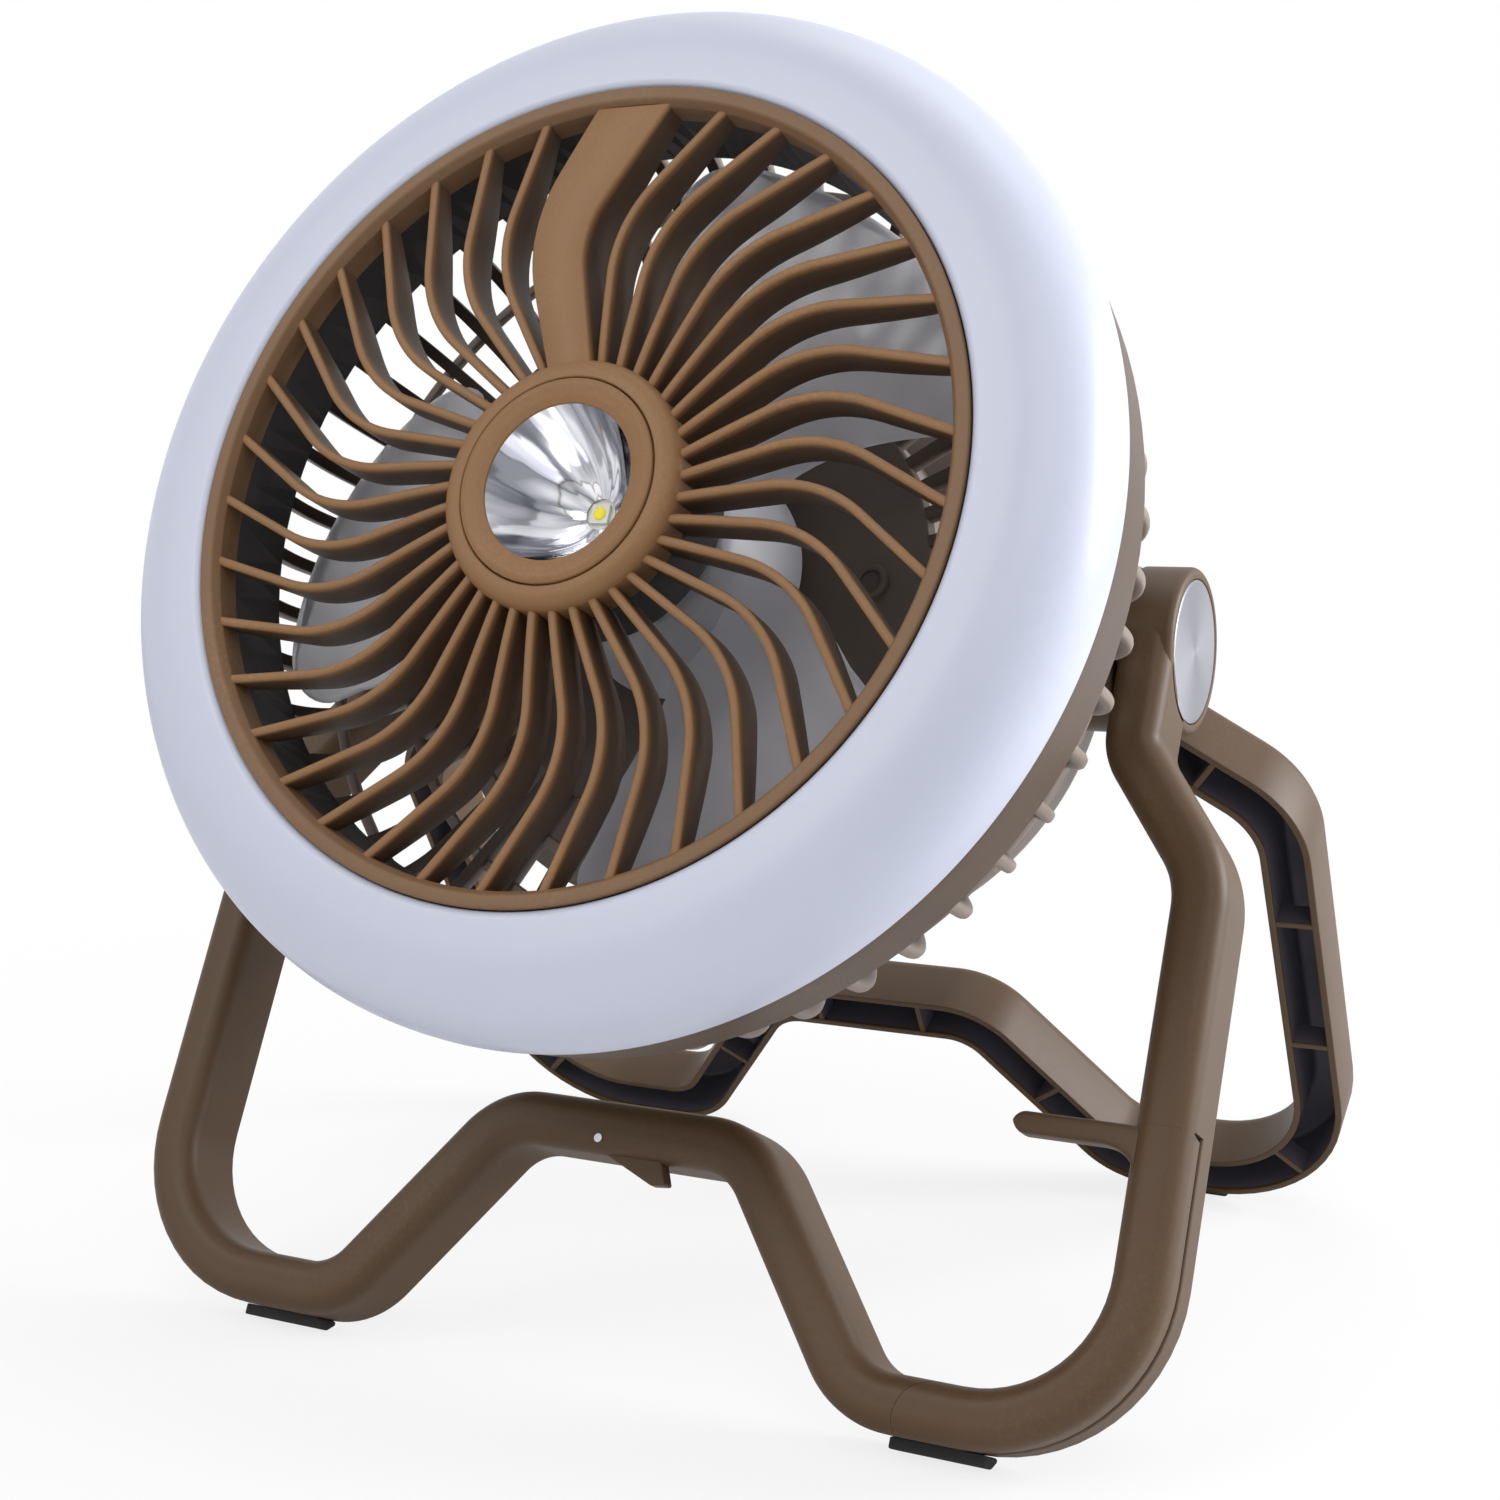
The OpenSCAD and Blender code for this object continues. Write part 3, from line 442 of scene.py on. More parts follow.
bodyOf = {node: body for body, held in record["behaviour"]["bodies"].items()
          for node in held}


def dress(piece, material):
    piece.data.materials.clear()
    piece.data.materials.append(material)


for name, material in finishOf.items():
    dress(nodes[name], material)
print("finishes set")


def fit(piece, material, body, slot, *replaced):
    dress(piece, material)
    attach(piece, body)
    if replaced:
        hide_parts(*replaced)


# a piece takes a node's place, with the node's own body and finish
def fitFor(node, piece, material=None):
    fit(piece, material or finishOf[node], bodyOf[node], slotOf[node], node)


# a node's own shape with its edges broken: a copy with its vertices merged, its
# nearly flat neighbours joined where asked, shaded smooth and bevelled
def softCopy(node, width, flatten=False, segments=3, angle=32):
    mesh = nodes[node].data.copy()
    work = bmesh.new()
    work.from_mesh(mesh)
    bmesh.ops.remove_doubles(work, verts=work.verts, dist=1e-6)
    bmesh.ops.recalc_face_normals(work, faces=work.faces)
    if flatten:
        bmesh.ops.dissolve_limit(work, angle_limit=math.radians(0.4), verts=work.verts,
                                 edges=work.edges)
    work.to_mesh(mesh)
    work.free()
    mesh.shade_smooth()
    mesh.set_sharp_from_angle(angle=math.radians(angle))
    piece = bpy.data.objects.new("soft_" + node, mesh)
    scene.collection.objects.link(piece)
    if width:
        bevel = piece.modifiers.new("brokenEdges", "BEVEL")
        bevel.width, bevel.segments = width * mm, segments
        bevel.limit_method, bevel.angle_limit = "ANGLE", math.radians(angle)
        bevel.harden_normals = True
    fitFor(node, piece)


# millimetres: sizes across from the middle, reaches down from the tilt axis, and
# levels (open, lowTop, hookBack, face) outwards from it
stand = {
    "half": 6.3, "wall": 1.8, "round": 4.5, "open": 0.4, "face": 19.4, "lowTop": 8.7,
    "bareTop": 1.4, "legHalf": 126.0, "barReach": 130.0, "footReach": 178.0,
    "barFlat": 31.5, "barLean": 3 / 4, "footBend": 34.0, "barBend": 18.0,
    "shoulderBend": 24.0, "neckBend": 12.0, "ribThick": 1.6, "ribHigh": 7.0,
    "frontOut": 111.6, "rearOut": 97.8, "frontNeck": 30.0, "rearNeck": 24.0,
    "frontFall": 4 / 3, "rearFall": 3 / 4, "barrel": 19.5, "cap": 16.7,
    "capGap": 0.15, "capSeat": 1.35, "recess": 1.75, "pinHole": 5.0,
    "frontEnd": 77.3, "hookStart": 91.5,
    "pinX": 88.0, "pinY": -180.8, "hookRoot": 9.3, "hookTop": 113.0, "hookBack": 10.3,
    "notch": 1.3, "notchLevel": 15.4,
    "fingerReach": 26.0, "fingerThickness": 5.0, "fingerFillet": 8.0, "fingerInset": 1.0,
    "fingerDrop": 0.8, "fingerPower": 0.45,
}
frontKnuckle = stand["frontOut"] - stand["half"]
rearKnuckle = stand["rearOut"] - stand["half"]


# a line with its corners rounded, each corner being (x, y, radius): straight
# runs joined by arcs that touch both runs; gives points and directions
def bentLine(corners, steps=14):
    corners = np.array(corners, float)
    points, ways = [corners[:1, :2]], []
    for i in range(1, len(corners) - 1):
        here, bend = corners[i, :2], corners[i, 2]
        before, after = here - corners[i - 1, :2], corners[i + 1, :2] - here
        before, after = before / np.linalg.norm(before), after / np.linalg.norm(after)
        turn = math.atan2(before[0] * after[1] - before[1] * after[0], before @ after)
        left = np.array([-before[1], before[0]])
        arm = -left * math.copysign(bend, turn)
        centre = here - before * bend * math.tan(abs(turn) / 2) - arm
        t = turn * np.linspace(0, 1, steps + 1)[:, None]
        points.append(centre + arm * np.cos(t)
                      + np.array([-arm[1], arm[0]]) * np.sin(t))
        ways.append(before * np.cos(t) + left * np.sin(t))
    points.append(corners[-1:, :2])
    return np.vstack(points), np.vstack([ways[0][:1]] + ways + [ways[-1][-1:]])


# hollow bar section in (sideways, level): open at the back, round at the front
def channelLoop(top, edge):
    half, wall, low = stand["half"], stand["wall"], stand["open"]
    inner = half - wall
    return roundedLoop([
        (-half, low, 0.35), (-half, top, edge), (half, top, edge), (half, low, 0.35),
        (inner, low, 0.35), (inner, low + 1.0, 0), (inner, low + 1.3, 0),
        (inner, top - wall, 1.2), (-inner, top - wall, 1.2), (-inner, low + 1.3, 0),
        (-inner, low + 1.0, 0), (-inner, low, 0.35)], steps=5)


# rounded cut round the hook's pin: the x at which a circle of this radius
# about the pin lies, left of it, at the height y
def pinCut(radius, y):
    return stand["pinX"] - np.sqrt(radius ** 2 - (y - stand["pinY"]) ** 2)


# cuts the long sides of an outline into short ones, so that an end can curve
def splitSides(loop, longest=1.0):
    step = np.roll(loop, -1, axis=0) - loop
    count = np.maximum(1, np.ceil(np.hypot(*step.T) / longest)).astype(int)
    index = np.repeat(np.arange(len(loop)), count)
    share = np.concatenate([np.arange(n) / n for n in count])
    return loop[index] + step[index] * share[:, None]


# an end at the barrel keeps its outer wall clear of the cap's recess
def recessEnd(x, level):
    outer = np.abs(x) > stand["frontOut"] - stand["recess"]
    return -np.sqrt(np.clip((stand["cap"] + 0.25) ** 2 - level ** 2, 0, None)) * outer


# a section carried along a bent line, square to it; an end can be cut round the
# hook's pin, and the notch slants the outer side of the last end back
def barPiece(name, axis, corners, loop, startCut=0.0, endCut=0.0, notch=0.0):
    line, way = bentLine(corners)
    if axis is legAxis:
        loop = splitSides(loop)
    x = line[:, :1] - way[:, 1:] * loop[None, :, 0]
    y = line[:, 1:] + way[:, :1] * loop[None, :, 0]
    if axis is legAxis:
        for end in (0, -1):
            if line[end, 1] == 0.0:
                y[end] = recessEnd(x[end], loop[:, 1])
    outer = (-loop[:, 0] - stand["half"] + 1.0).clip(0, 1)
    y[-1] -= notch * outer * (loop[:, 1] < stand["notchLevel"])
    if startCut:
        x, y = np.vstack([pinCut(startCut, y[:1]), x]), np.vstack([y[:1], y])
    if endCut:
        x, y = np.vstack([x, pinCut(endCut, y[-1:])]), np.vstack([y, y[-1:]])
    # the hollow's own faces get painted shade, but for the rims of its mouth
    low, high = stand["open"] + 1.2, loop[:, 1].max() - stand["bareTop"]
    paintedShade = ((np.abs(loop[:, 0]) < stand["half"] - stand["wall"] + 0.05)
            & (loop[:, 1] > low) & (loop[:, 1] < high))
    return gridPiece(name, toFrame(axis, x, y, loop[None, :, 1]), closeColumns=True,
                     capped=True, sharpAngle=35, paintedShade=paintedShade)


# one side's corners from the middle bar to the barrel, or back again
def legCorners(side, neck, fall, knuckle):
    flat, reach, low = stand["barFlat"], stand["barReach"], stand["footReach"]
    wide = stand["legHalf"]
    drop = -neck - (wide - knuckle) * fall
    corners = [(flat, -reach, stand["barBend"]),
               (flat + (low - reach) * stand["barLean"], -low, stand["barBend"]),
               (wide, -low, stand["footBend"]), (wide, drop, stand["shoulderBend"]),
               (knuckle, -neck, stand["neckBend"]), (knuckle, 0.0, 0.0)]
    return [(side * x, y, bend) for x, y, bend in corners]


# cross ribs in the hollow: thin slabs across the bar at each (x, y, direction)
def ribSlabs(name, axis, spots):
    reach, side = stand["half"] - stand["wall"] + 0.1, stand["ribThick"] / 2
    low, high = stand["open"] + 0.3, stand["open"] + 0.3 + stand["ribHigh"]
    loop = roundedLoop([(-side, low, 0.3), (-side, low + 1.0, 0), (-side, high, 0),
                        (side, high, 0), (side, low + 1.0, 0), (side, low, 0.3)], steps=3)
    x, y, turn = np.array(spots, float).T[:, :, None, None]
    along, level = loop.T[:, None, None]
    across = np.array([-reach, reach])[None, :, None]
    points = toFrame(axis, x + np.cos(turn) * along - np.sin(turn) * across,
                     y + np.sin(turn) * along + np.cos(turn) * across, level)
    # the ribs' faces deep in the hollow get painted shade
    return gridPiece(name, points, closeColumns=True, capped=True,
                     paintedShade=loop[:, 1] > low + 0.9)


# where a frame's ribs stand: two in the middle bar, and on each side one in
# the slope, one in the foot, two in the leg and one below the barrel
def ribSpots(neck, fall, knuckle):
    wide, low, reach = stand["legHalf"], stand["footReach"], stand["barReach"]
    bend, flat, lean = stand["footBend"], stand["barFlat"], stand["barLean"]
    drop = -neck - (wide - knuckle) * fall
    top, bottom = drop - stand["shoulderBend"] / 2, -low + bend
    corner = bend - bend / math.sqrt(2)
    spots = [(-flat / 2, -reach, 0.0), (flat / 2, -reach, 0.0)]
    for side in (-1, 1):
        spots += [
            (side * (flat + (low - reach) * lean / 2), -(reach + low) / 2,
             math.atan2(-1, lean * side)),
            (side * (wide - corner), -low + corner, side * math.pi / 4),
            (side * wide, bottom + (top - bottom) / 4, math.pi / 2),
            (side * wide, bottom + (top - bottom) * 3 / 4, math.pi / 2),
            (side * (wide + knuckle) / 2, (drop - neck) / 2,
             math.atan2(drop + neck, side * (wide - knuckle)))]
    return spots


# a loop of (radius, distance out) turned about the tilt axis on one side
def axisPiece(name, side, loop, steps=128, merge=False):
    angle = np.linspace(0, 2 * math.pi, steps, endpoint=False)[:, None]
    x = side * loop[None, :, 1] + 0 * angle
    y, z = loop[None, :, 0] * np.cos(angle), loop[None, :, 0] * np.sin(angle)
    return gridPiece(name, tiltPoint + mm * np.stack([x, y, z], -1),
                     closeRows=True, closeColumns=True, sharpAngle=35, merge=merge)


fullLoop = channelLoop(stand["face"], stand["round"])
lowLoop = channelLoop(stand["lowTop"], 0.6)
frontLeg = [stand["frontNeck"], stand["frontFall"], frontKnuckle]
rearLeg = [stand["rearNeck"], stand["rearFall"], rearKnuckle]
seam = stand["hookRoot"] + 0.1

rearLine = legCorners(-1, *rearLeg)[::-1] + legCorners(1, *rearLeg)
fitFor("rear_frame", barPiece("rearBar", rearAxis, rearLine, fullLoop))
fitFor("rear_frame", ribSlabs("rearRibs", rearAxis, ribSpots(*rearLeg)))

# the front bar stops at the hook's round root, and only its low channel runs
# on under the hook as far as the split in the right leg
right = legCorners(1, *frontLeg)
frontEnd = (stand["frontEnd"], -stand["footReach"], 0.0)
hookStart = (stand["hookStart"], -stand["footReach"], 0.0)
foot = (stand["legHalf"], -stand["footReach"], stand["footBend"])
split = (stand["legHalf"], -stand["hookTop"], 0.0)
frontParts = {
    "frontBar": (legCorners(-1, *frontLeg)[::-1] + right[:2] + [frontEnd],
                 fullLoop, 0.0, seam),
    "frontLowBar": ([hookStart, foot, split], lowLoop, seam, 0.0),
    "frontHookLeg": ([split] + right[3:], fullLoop, 0.0, 0.0),
}
for name, (corners, loop, startCut, endCut) in frontParts.items():
    fitFor("front_frame", barPiece(name, legAxis, corners, loop, startCut, endCut))
fitFor("front_frame", ribSlabs("frontRibs", legAxis, ribSpots(*frontLeg)))

for side, word in ((-1, "Left"), (1, "Right")):
    out, rear, hole = stand["frontOut"], stand["rearOut"], stand["pinHole"]
    deepIn, rearIn = out - 2 * stand["half"], rear - 2 * stand["half"]
    pocket, seat = stand["cap"] + stand["capGap"], out - stand["capSeat"]
    frontLoop = roundedLoop([
        (hole, deepIn, 0.2), (stand["barrel"], deepIn, 0.9), (stand["barrel"], out, 1.7),
        (pocket, out, 0.3), (pocket, seat, 0.0), (hole, seat, 0.0)], steps=6)
    fitFor("front_frame", axisPiece("frontBarrel" + word, side, frontLoop))
    capLoop = roundedLoop([
        (0.0, seat + 0.05, 0.0), (stand["cap"], seat + 0.05, 0.0),
        (stand["cap"], out - 0.15, 0.3), (stand["cap"] - 0.9, out - 0.05, 0.4),
        (0.0, out + 0.02, 0.0)], steps=4)
    fitFor("pivot_caps", axisPiece("spunCap" + word, side, capLoop, merge=True))
    rearLoop = roundedLoop([
        (hole + 0.1, rearIn, 0.2), (stand["barrel"], rearIn, 0.9),
        (stand["barrel"], rear, 0.9), (hole + 0.1, rear, 0.2)], steps=5)
    fitFor("rear_frame", axisPiece("rearBarrel" + word, side, rearLoop))

half, back, face = stand["half"], stand["hookBack"], stand["face"]
hookLoop = roundedLoop([(-half, back, 0.8), (-half, face, 4.4),
                        (half, face, 4.4), (half, back, 0.8)], steps=8)
hookEnd = (stand["legHalf"], -stand["hookTop"] - 0.03, 0.0)
fitFor("hanging_hook", barPiece("hookBar", legAxis, [hookStart, foot, hookEnd], hookLoop,
                                startCut=stand["hookRoot"], notch=stand["notch"]))


# the hook's finger: a flat bar with a round tip; towards the leg its lower side
# drops along a quarter circle, and its section is a superellipse
def fingerPiece():
    thick, fillet = stand["fingerThickness"], stand["fingerFillet"]
    end = stand["legHalf"] - stand["half"] + 1.5
    tip = stand["legHalf"] - stand["half"] - stand["fingerReach"]
    middle = -stand["hookTop"] - 0.3 - thick / 2
    nose = thick / 2 * (1 - np.cos(np.linspace(0.12, math.pi / 2, 9)))
    x = np.concatenate([tip + nose, np.linspace(tip + 4, end - fillet - 1.5, 6),
                        end - fillet * np.cos(np.linspace(0, math.pi / 2, 12)[1:])])
    shrink = np.sqrt(np.clip(1 - (1 - (x - tip) / (thick / 2)).clip(0, 1) ** 2, 0, 1))
    drop = fillet - np.sqrt(fillet ** 2 - (x - end + fillet).clip(0, fillet) ** 2)
    high = middle + thick / 2 * shrink
    low = middle - thick / 2 * shrink - drop * stand["fingerDrop"]
    # cosine and sine raised to a small power, with their signs kept
    t = np.linspace(0, 2 * math.pi, 40, endpoint=False)
    share = np.sign(np.cos(t)) * np.abs(np.cos(t)) ** stand["fingerPower"]
    level = np.sign(np.sin(t)) * np.abs(np.sin(t)) ** stand["fingerPower"]
    first, last = stand["hookBack"] + stand["fingerInset"], stand["face"] - stand["fingerInset"]
    y = ((high + low) / 2)[:, None] + ((high - low) / 2)[:, None] * share[None]
    z = (first + last) / 2 + (last - first) / 2 * level[None]
    return gridPiece("hookFinger", toFrame(legAxis, x[:, None], y, z),
                     closeColumns=True, capped=True, sharpAngle=50)


fitFor("hanging_hook", fingerPiece())
# widths of the broken edges of the pieces that keep their nodes' own shapes
brokenEdge = {
    "front_feet": 0.8, "rear_feet": 0.8, "frame_catch": 0.7, "front_washers": 0.15,
    "rear_washers": 0.15, "drum_housing": 0.5, "drum_cover": 0.35, "fan_button": 0.5,
    "light_button": 0.5, "head_rim": 0.35, "air_duct": 0.0,
}
for node, width in brokenEdge.items():
    softCopy(node, width, flatten=node.startswith("drum"))
print("stand made")

# millimetres and degrees; levels are distances from the tilt axis along the
# head's axis
guard = {
    "vanes": 35, "blank": 2, "thickness": 2.0, "front": 104.2, "depth": 10.2,
    "turn": 45.0, "bend": 30.0, "share": 0.43, "rootX": -3.65, "rootY": 28.5,
    "runRows": 9, "thinFrom": 0.62, "thinBy": 0.42, "nose": 0.8,
    "wideIn": 10.4, "wideOut": 17.0, "wideProud": 1.0, "wideEdge": 0.045,
    "reach": 89.4, "wall": 8.0, "face": 106.0, "hubRadius": 28.7, "hubBore": 21.1,
    "hubBack": 81.8, "skirt": 10.0, "skirtFloor": 83.6, "wireHole": 4.0,
    "bezelRadius": 23.4, "rimOuter": 93.12, "rimStep": 91.1, "rimInner": 88.9,
}


# centre line of a vane seen from the front with its outer end straight up: a
# straight run that leans left, an arc, and a straight run that leans right
def vaneLine(lead, arcSteps=12):
    a = math.radians(guard["turn"] * guard["share"])
    b = math.radians(guard["turn"]) - a
    root = np.array([guard["rootX"], guard["rootY"]])
    end = np.array([0.0, guard["reach"]])
    # p and q point along the two straight runs, which meet at the corner
    p = np.array([-math.sin(a), math.cos(a)])
    q = np.array([math.sin(b), math.cos(b)])
    gap = end - root
    reach = (gap[0] * q[1] - gap[1] * q[0]) / (p[0] * q[1] - p[1] * q[0])
    corner = root + p * reach
    trim = guard["bend"] * math.tan((a + b) / 2)
    start, stop = corner - p * trim, corner + q * trim
    centre = start + np.array([math.cos(a), math.sin(a)]) * guard["bend"]
    t = np.linspace(0, 1, guard["runRows"])[:, None]
    inner = (root - p * lead) * (1 - t) + start * t
    outer = stop * (1 - t) + end * t
    angle = math.pi + a - (a + b) * np.linspace(0, 1, arcSteps + 1)[1:-1]
    arc = centre + guard["bend"] * np.stack([np.cos(angle), np.sin(angle)], -1)
    line = np.vstack([inner, arc, outer])
    way = np.gradient(line, axis=0)
    way /= np.linalg.norm(way, axis=1)[:, None]
    along = np.r_[0, np.cumsum(np.linalg.norm(np.diff(line, axis=0), axis=1))]
    return line, way, along / along[-1]


# a loop of (sideways, level) carried along the centre line and turned by each
# copy's angle; the width grows from the root to the end, the outer run of
# every column ends on the rim's circle, and the depth lessens towards it
def vaneSet(name, loop, widthIn, widthOut, turns, nose=0.0, lead=1.2):
    line, way, t = vaneLine(lead)
    side = np.stack([way[:, 1], -way[:, 0]], -1)
    width = (widthIn + (widthOut - widthIn) * t)[:, None]
    x = line[:, :1] + side[:, :1] * loop[None, :, 0] * width
    y = line[:, 1:] + side[:, 1:] * loop[None, :, 0] * width
    rows = guard["runRows"]
    start = np.stack([x[-rows], y[-rows]], -1)
    run = np.stack([x[-1], y[-1]], -1) - start
    run /= np.linalg.norm(run, axis=1)[:, None]
    along = (start * run).sum(1)
    far = -along + np.sqrt(along ** 2 - (start ** 2).sum(1) + guard["reach"] ** 2)
    share = np.linspace(0, 1, rows)[:, None]
    x[-rows:] = start[:, 0] + run[:, 0] * far * share
    y[-rows:] = start[:, 1] + run[:, 1] * far * share
    thin = ((t - guard["thinFrom"]) / (1 - guard["thinFrom"])).clip(0, 1)[:, None]
    shallow = 1 - guard["thinBy"] * thin ** 1.5
    level = guard["front"] - (guard["front"] - loop[None, :, 1]) * shallow
    # the front edge dips a little where the vane leaves the hub
    dip = nose * np.exp(-t * 9.0)[:, None]
    level = level - dip * (loop[None, :, 1] > guard["front"] - 3)
    # painted shade: the vanes' sides behind the front edge turn darker
    paintedShade = ((loop[:, 1].max() - loop[:, 1] - 0.9) / 1.5).clip(0, 1)
    return gridPiece(name, turnedCopies(x, y, level, np.radians(turns)),
                     closeColumns=True, capped=True, sharpAngle=50, paintedShade=paintedShade)


pitch = 360.0 / (guard["vanes"] + guard["blank"])
front, back = guard["front"], guard["front"] - guard["depth"]
# both loops are in shares of the width sideways and in millimetres of level
noseAngle = np.linspace(math.pi, 0, 9)
narrowLoop = np.vstack([
    np.stack([0.5 * np.cos(noseAngle), front - 0.7 + 0.7 * np.sin(noseAngle)], -1),
    [[0.5, front - 2.4], [0.48, back + 4.0], [0.42, back + 0.5], [0.30, back],
     [-0.30, back], [-0.42, back + 0.5], [-0.48, back + 4.0], [-0.5, front - 2.4]]])
vanes = vaneSet("guardVanes", narrowLoop, guard["thickness"], guard["thickness"],
                -(np.arange(guard["vanes"]) + 1.5) * pitch, nose=guard["nose"])
fitFor("front_grille", vanes)

wideFront, edge = front + guard["wideProud"], guard["wideEdge"]
rightHalf = np.array([[0.5 - edge, wideFront], [0.5 - edge * 0.3, wideFront - 0.3],
                      [0.5, wideFront - 0.9], [0.5, wideFront - 2.4], [0.5, back]])
wideLoop = np.vstack([rightHalf[::-1] * [-1, 1], rightHalf])
leadVane = vaneSet("guardLeadVane", wideLoop, guard["wideIn"], guard["wideOut"],
                   np.array([0.0]), lead=3.6)
fitFor("front_grille", leadVane)

skirtLevel = guard["face"] - guard["skirt"]
hubLoop = roundedLoop([
    (guard["hubRadius"], skirtLevel, 0.0), (guard["hubRadius"], guard["face"], 3.4),
    (guard["bezelRadius"] + 0.25, guard["face"] + 0.2, 0.5),
    (guard["bezelRadius"] + 0.25, guard["face"] - 4.2, 0.0),
    (guard["hubBore"], guard["face"] - 4.2, 0.3),
    (guard["hubBore"], skirtLevel, 0.0)], steps=8)
fitFor("front_grille", turnedPiece("guardHub", hubLoop))
skirtLoop = roundedLoop([
    (guard["hubRadius"], guard["hubBack"], 0.8), (guard["hubRadius"], skirtLevel, 0.0),
    (guard["hubBore"], skirtLevel, 0.0), (guard["hubBore"], guard["skirtFloor"], 0.0),
    (guard["wireHole"], guard["skirtFloor"], 0.0),
    (guard["wireHole"], guard["hubBack"], 0.3)], steps=6)
# painted shade: the back of the grille's hub takes the near black dark shell finish where it lies in shade
fitFor("front_grille", turnedPiece("guardSkirt", skirtLoop), darkShell)

face = guard["face"]
rimLoop = roundedLoop([
    (guard["rimOuter"], face - 1.2, 0.0), (guard["rimOuter"], face, 0.5),
    (guard["rimInner"] + 1.2, face - 0.1, 1.0), (guard["rimInner"], face - 2.2, 1.0),
    (guard["rimInner"], face - guard["wall"], 0.3),
    (guard["rimStep"], face - guard["wall"], 0.0),
    (guard["rimStep"], face - 1.2, 0.0)], steps=5)
fitFor("front_grille", turnedPiece("guardRim", rimLoop, steps=256), rimTan)
print("guard made")

spot = {
    "base": 85.2, "bowlBack": 85.8, "bowlIn": 3.6, "bowlOut": 18.05, "lip": 103.0,
    "edge": 105.2, "lens": 1.55, "lensHigh": 0.7,
}
bezelLoop = roundedLoop([
    (spot["bowlOut"] + 0.2, spot["lip"], 0.0), (guard["bezelRadius"], spot["lip"], 0.0),
    (guard["bezelRadius"], face + 0.5, 0.6), (guard["bezelRadius"] - 1.4, face + 0.9, 0.8),
    (spot["bowlOut"] + 1.5, face + 0.3, 0.8), (spot["bowlOut"] - 0.15, face - 0.3, 0.3),
    (spot["bowlOut"] - 0.15, face - 0.9, 0.2),
    (spot["bowlOut"] + 0.2, face - 1.2, 0.2)], steps=6)
fitFor("spot_bezel", turnedPiece("spotBezel", bezelLoop))

# the bowl's level grows with the square of the radius, as a parabola does
bowlRadius = np.linspace(spot["bowlIn"], spot["bowlOut"], 40)
square = bowlRadius ** 2 - spot["bowlIn"] ** 2
level = spot["bowlBack"] + (spot["edge"] - spot["bowlBack"]) * square / square[-1]
inside = np.stack([bowlRadius, level], -1)
outside = inside[::-1] + [0.9, -0.5]
outside = outside[outside[:, 1] < spot["lip"] - 1.4]
bowlLoop = np.vstack([inside, [[spot["bowlOut"] + 0.12, spot["edge"] - 0.3],
                               [spot["bowlOut"] + 0.12, spot["lip"] - 0.05],
                               [guard["bezelRadius"] - 0.2, spot["lip"] - 0.05],
                               [guard["bezelRadius"] - 0.2, spot["lip"] - 1.1]], outside])
fitFor("spot_reflector", turnedPiece("spotBowl", bowlLoop, sharpAngle=30))

# the emitter's round lens on its pale base
lens = np.linspace(0, math.pi / 2, 9)[:-1]
crown = np.stack([spot["lens"] * np.cos(lens),
                  spot["base"] + 1.0 + spot["lensHigh"] * np.sin(lens)], -1)
lensLoop = np.vstack([[[0.0, spot["base"] + 0.9], [spot["lens"], spot["base"] + 0.9]],
                      crown, [[0.0, spot["base"] + 1.0 + spot["lensHigh"]]]])
fit(turnedPiece("spotLens", lensLoop, steps=48, closed=False, merge=True), yellow,
    "head", "emitter")
print("spotlight made")

dome = {
    "inner": 93.2, "outer": 119.3, "front": 106.0, "back": 85.0, "round": 18.3,
    "wall": 1.8, "innerRound": 2.2, "hollowRound": 1.6,
}
# the outside of the dome, then its inside one wall further in
wallIn, wallOut = dome["inner"] + dome["wall"], dome["outer"] - dome["wall"]
domeLoop = roundedLoop([
    (dome["inner"], dome["back"], 0.0),
    (dome["inner"], dome["front"], dome["innerRound"]),
    (dome["outer"], dome["front"], dome["round"]),
    (dome["outer"], dome["back"], 0.0),
    (wallOut, dome["back"], 0.0),
    (wallOut, dome["front"] - dome["wall"], dome["round"] - dome["wall"]),
    (wallIn, dome["front"] - dome["wall"], dome["hollowRound"]),
    (wallIn, dome["back"], 0.0)], steps=18)
fitFor("light_diffuser", turnedPiece("lightDome", domeLoop, steps=320))
print("light ring made")

rotor = {
    "blades": 3, "hubBack": 29.5, "hubFront": 21.0, "back": 42.0, "front": 66.0,
    "bore": 2.5, "boss": 6.0, "shell": 2.4, "lid": 3.0, "root": 20.0, "tip": 91.0,
    "thickness": 1.9, "belly": 2.0, "trailRoundFrom": 74.0, "trailSweep": 26.0,
    "leadRoundFrom": 80.0, "leadSweep": 8.0,
}
# edges of one blade by radius: angle and level of the edge that trails, then
# angle and level of the edge that leads, in degrees and millimetres
bladeEdges = {
    "radius": [20, 29, 40, 52, 66, 74, 91],
    "trail": [44, 40, 35.6, 31, 27, 24.5, 23],
    "trailLevel": [47, 50, 54, 57, 56, 55, 54],
    "lead": [122, 115, 108, 101, 94.5, 92.5, 91],
    "leadLevel": [61, 64, 67, 70, 73, 74, 74],
}


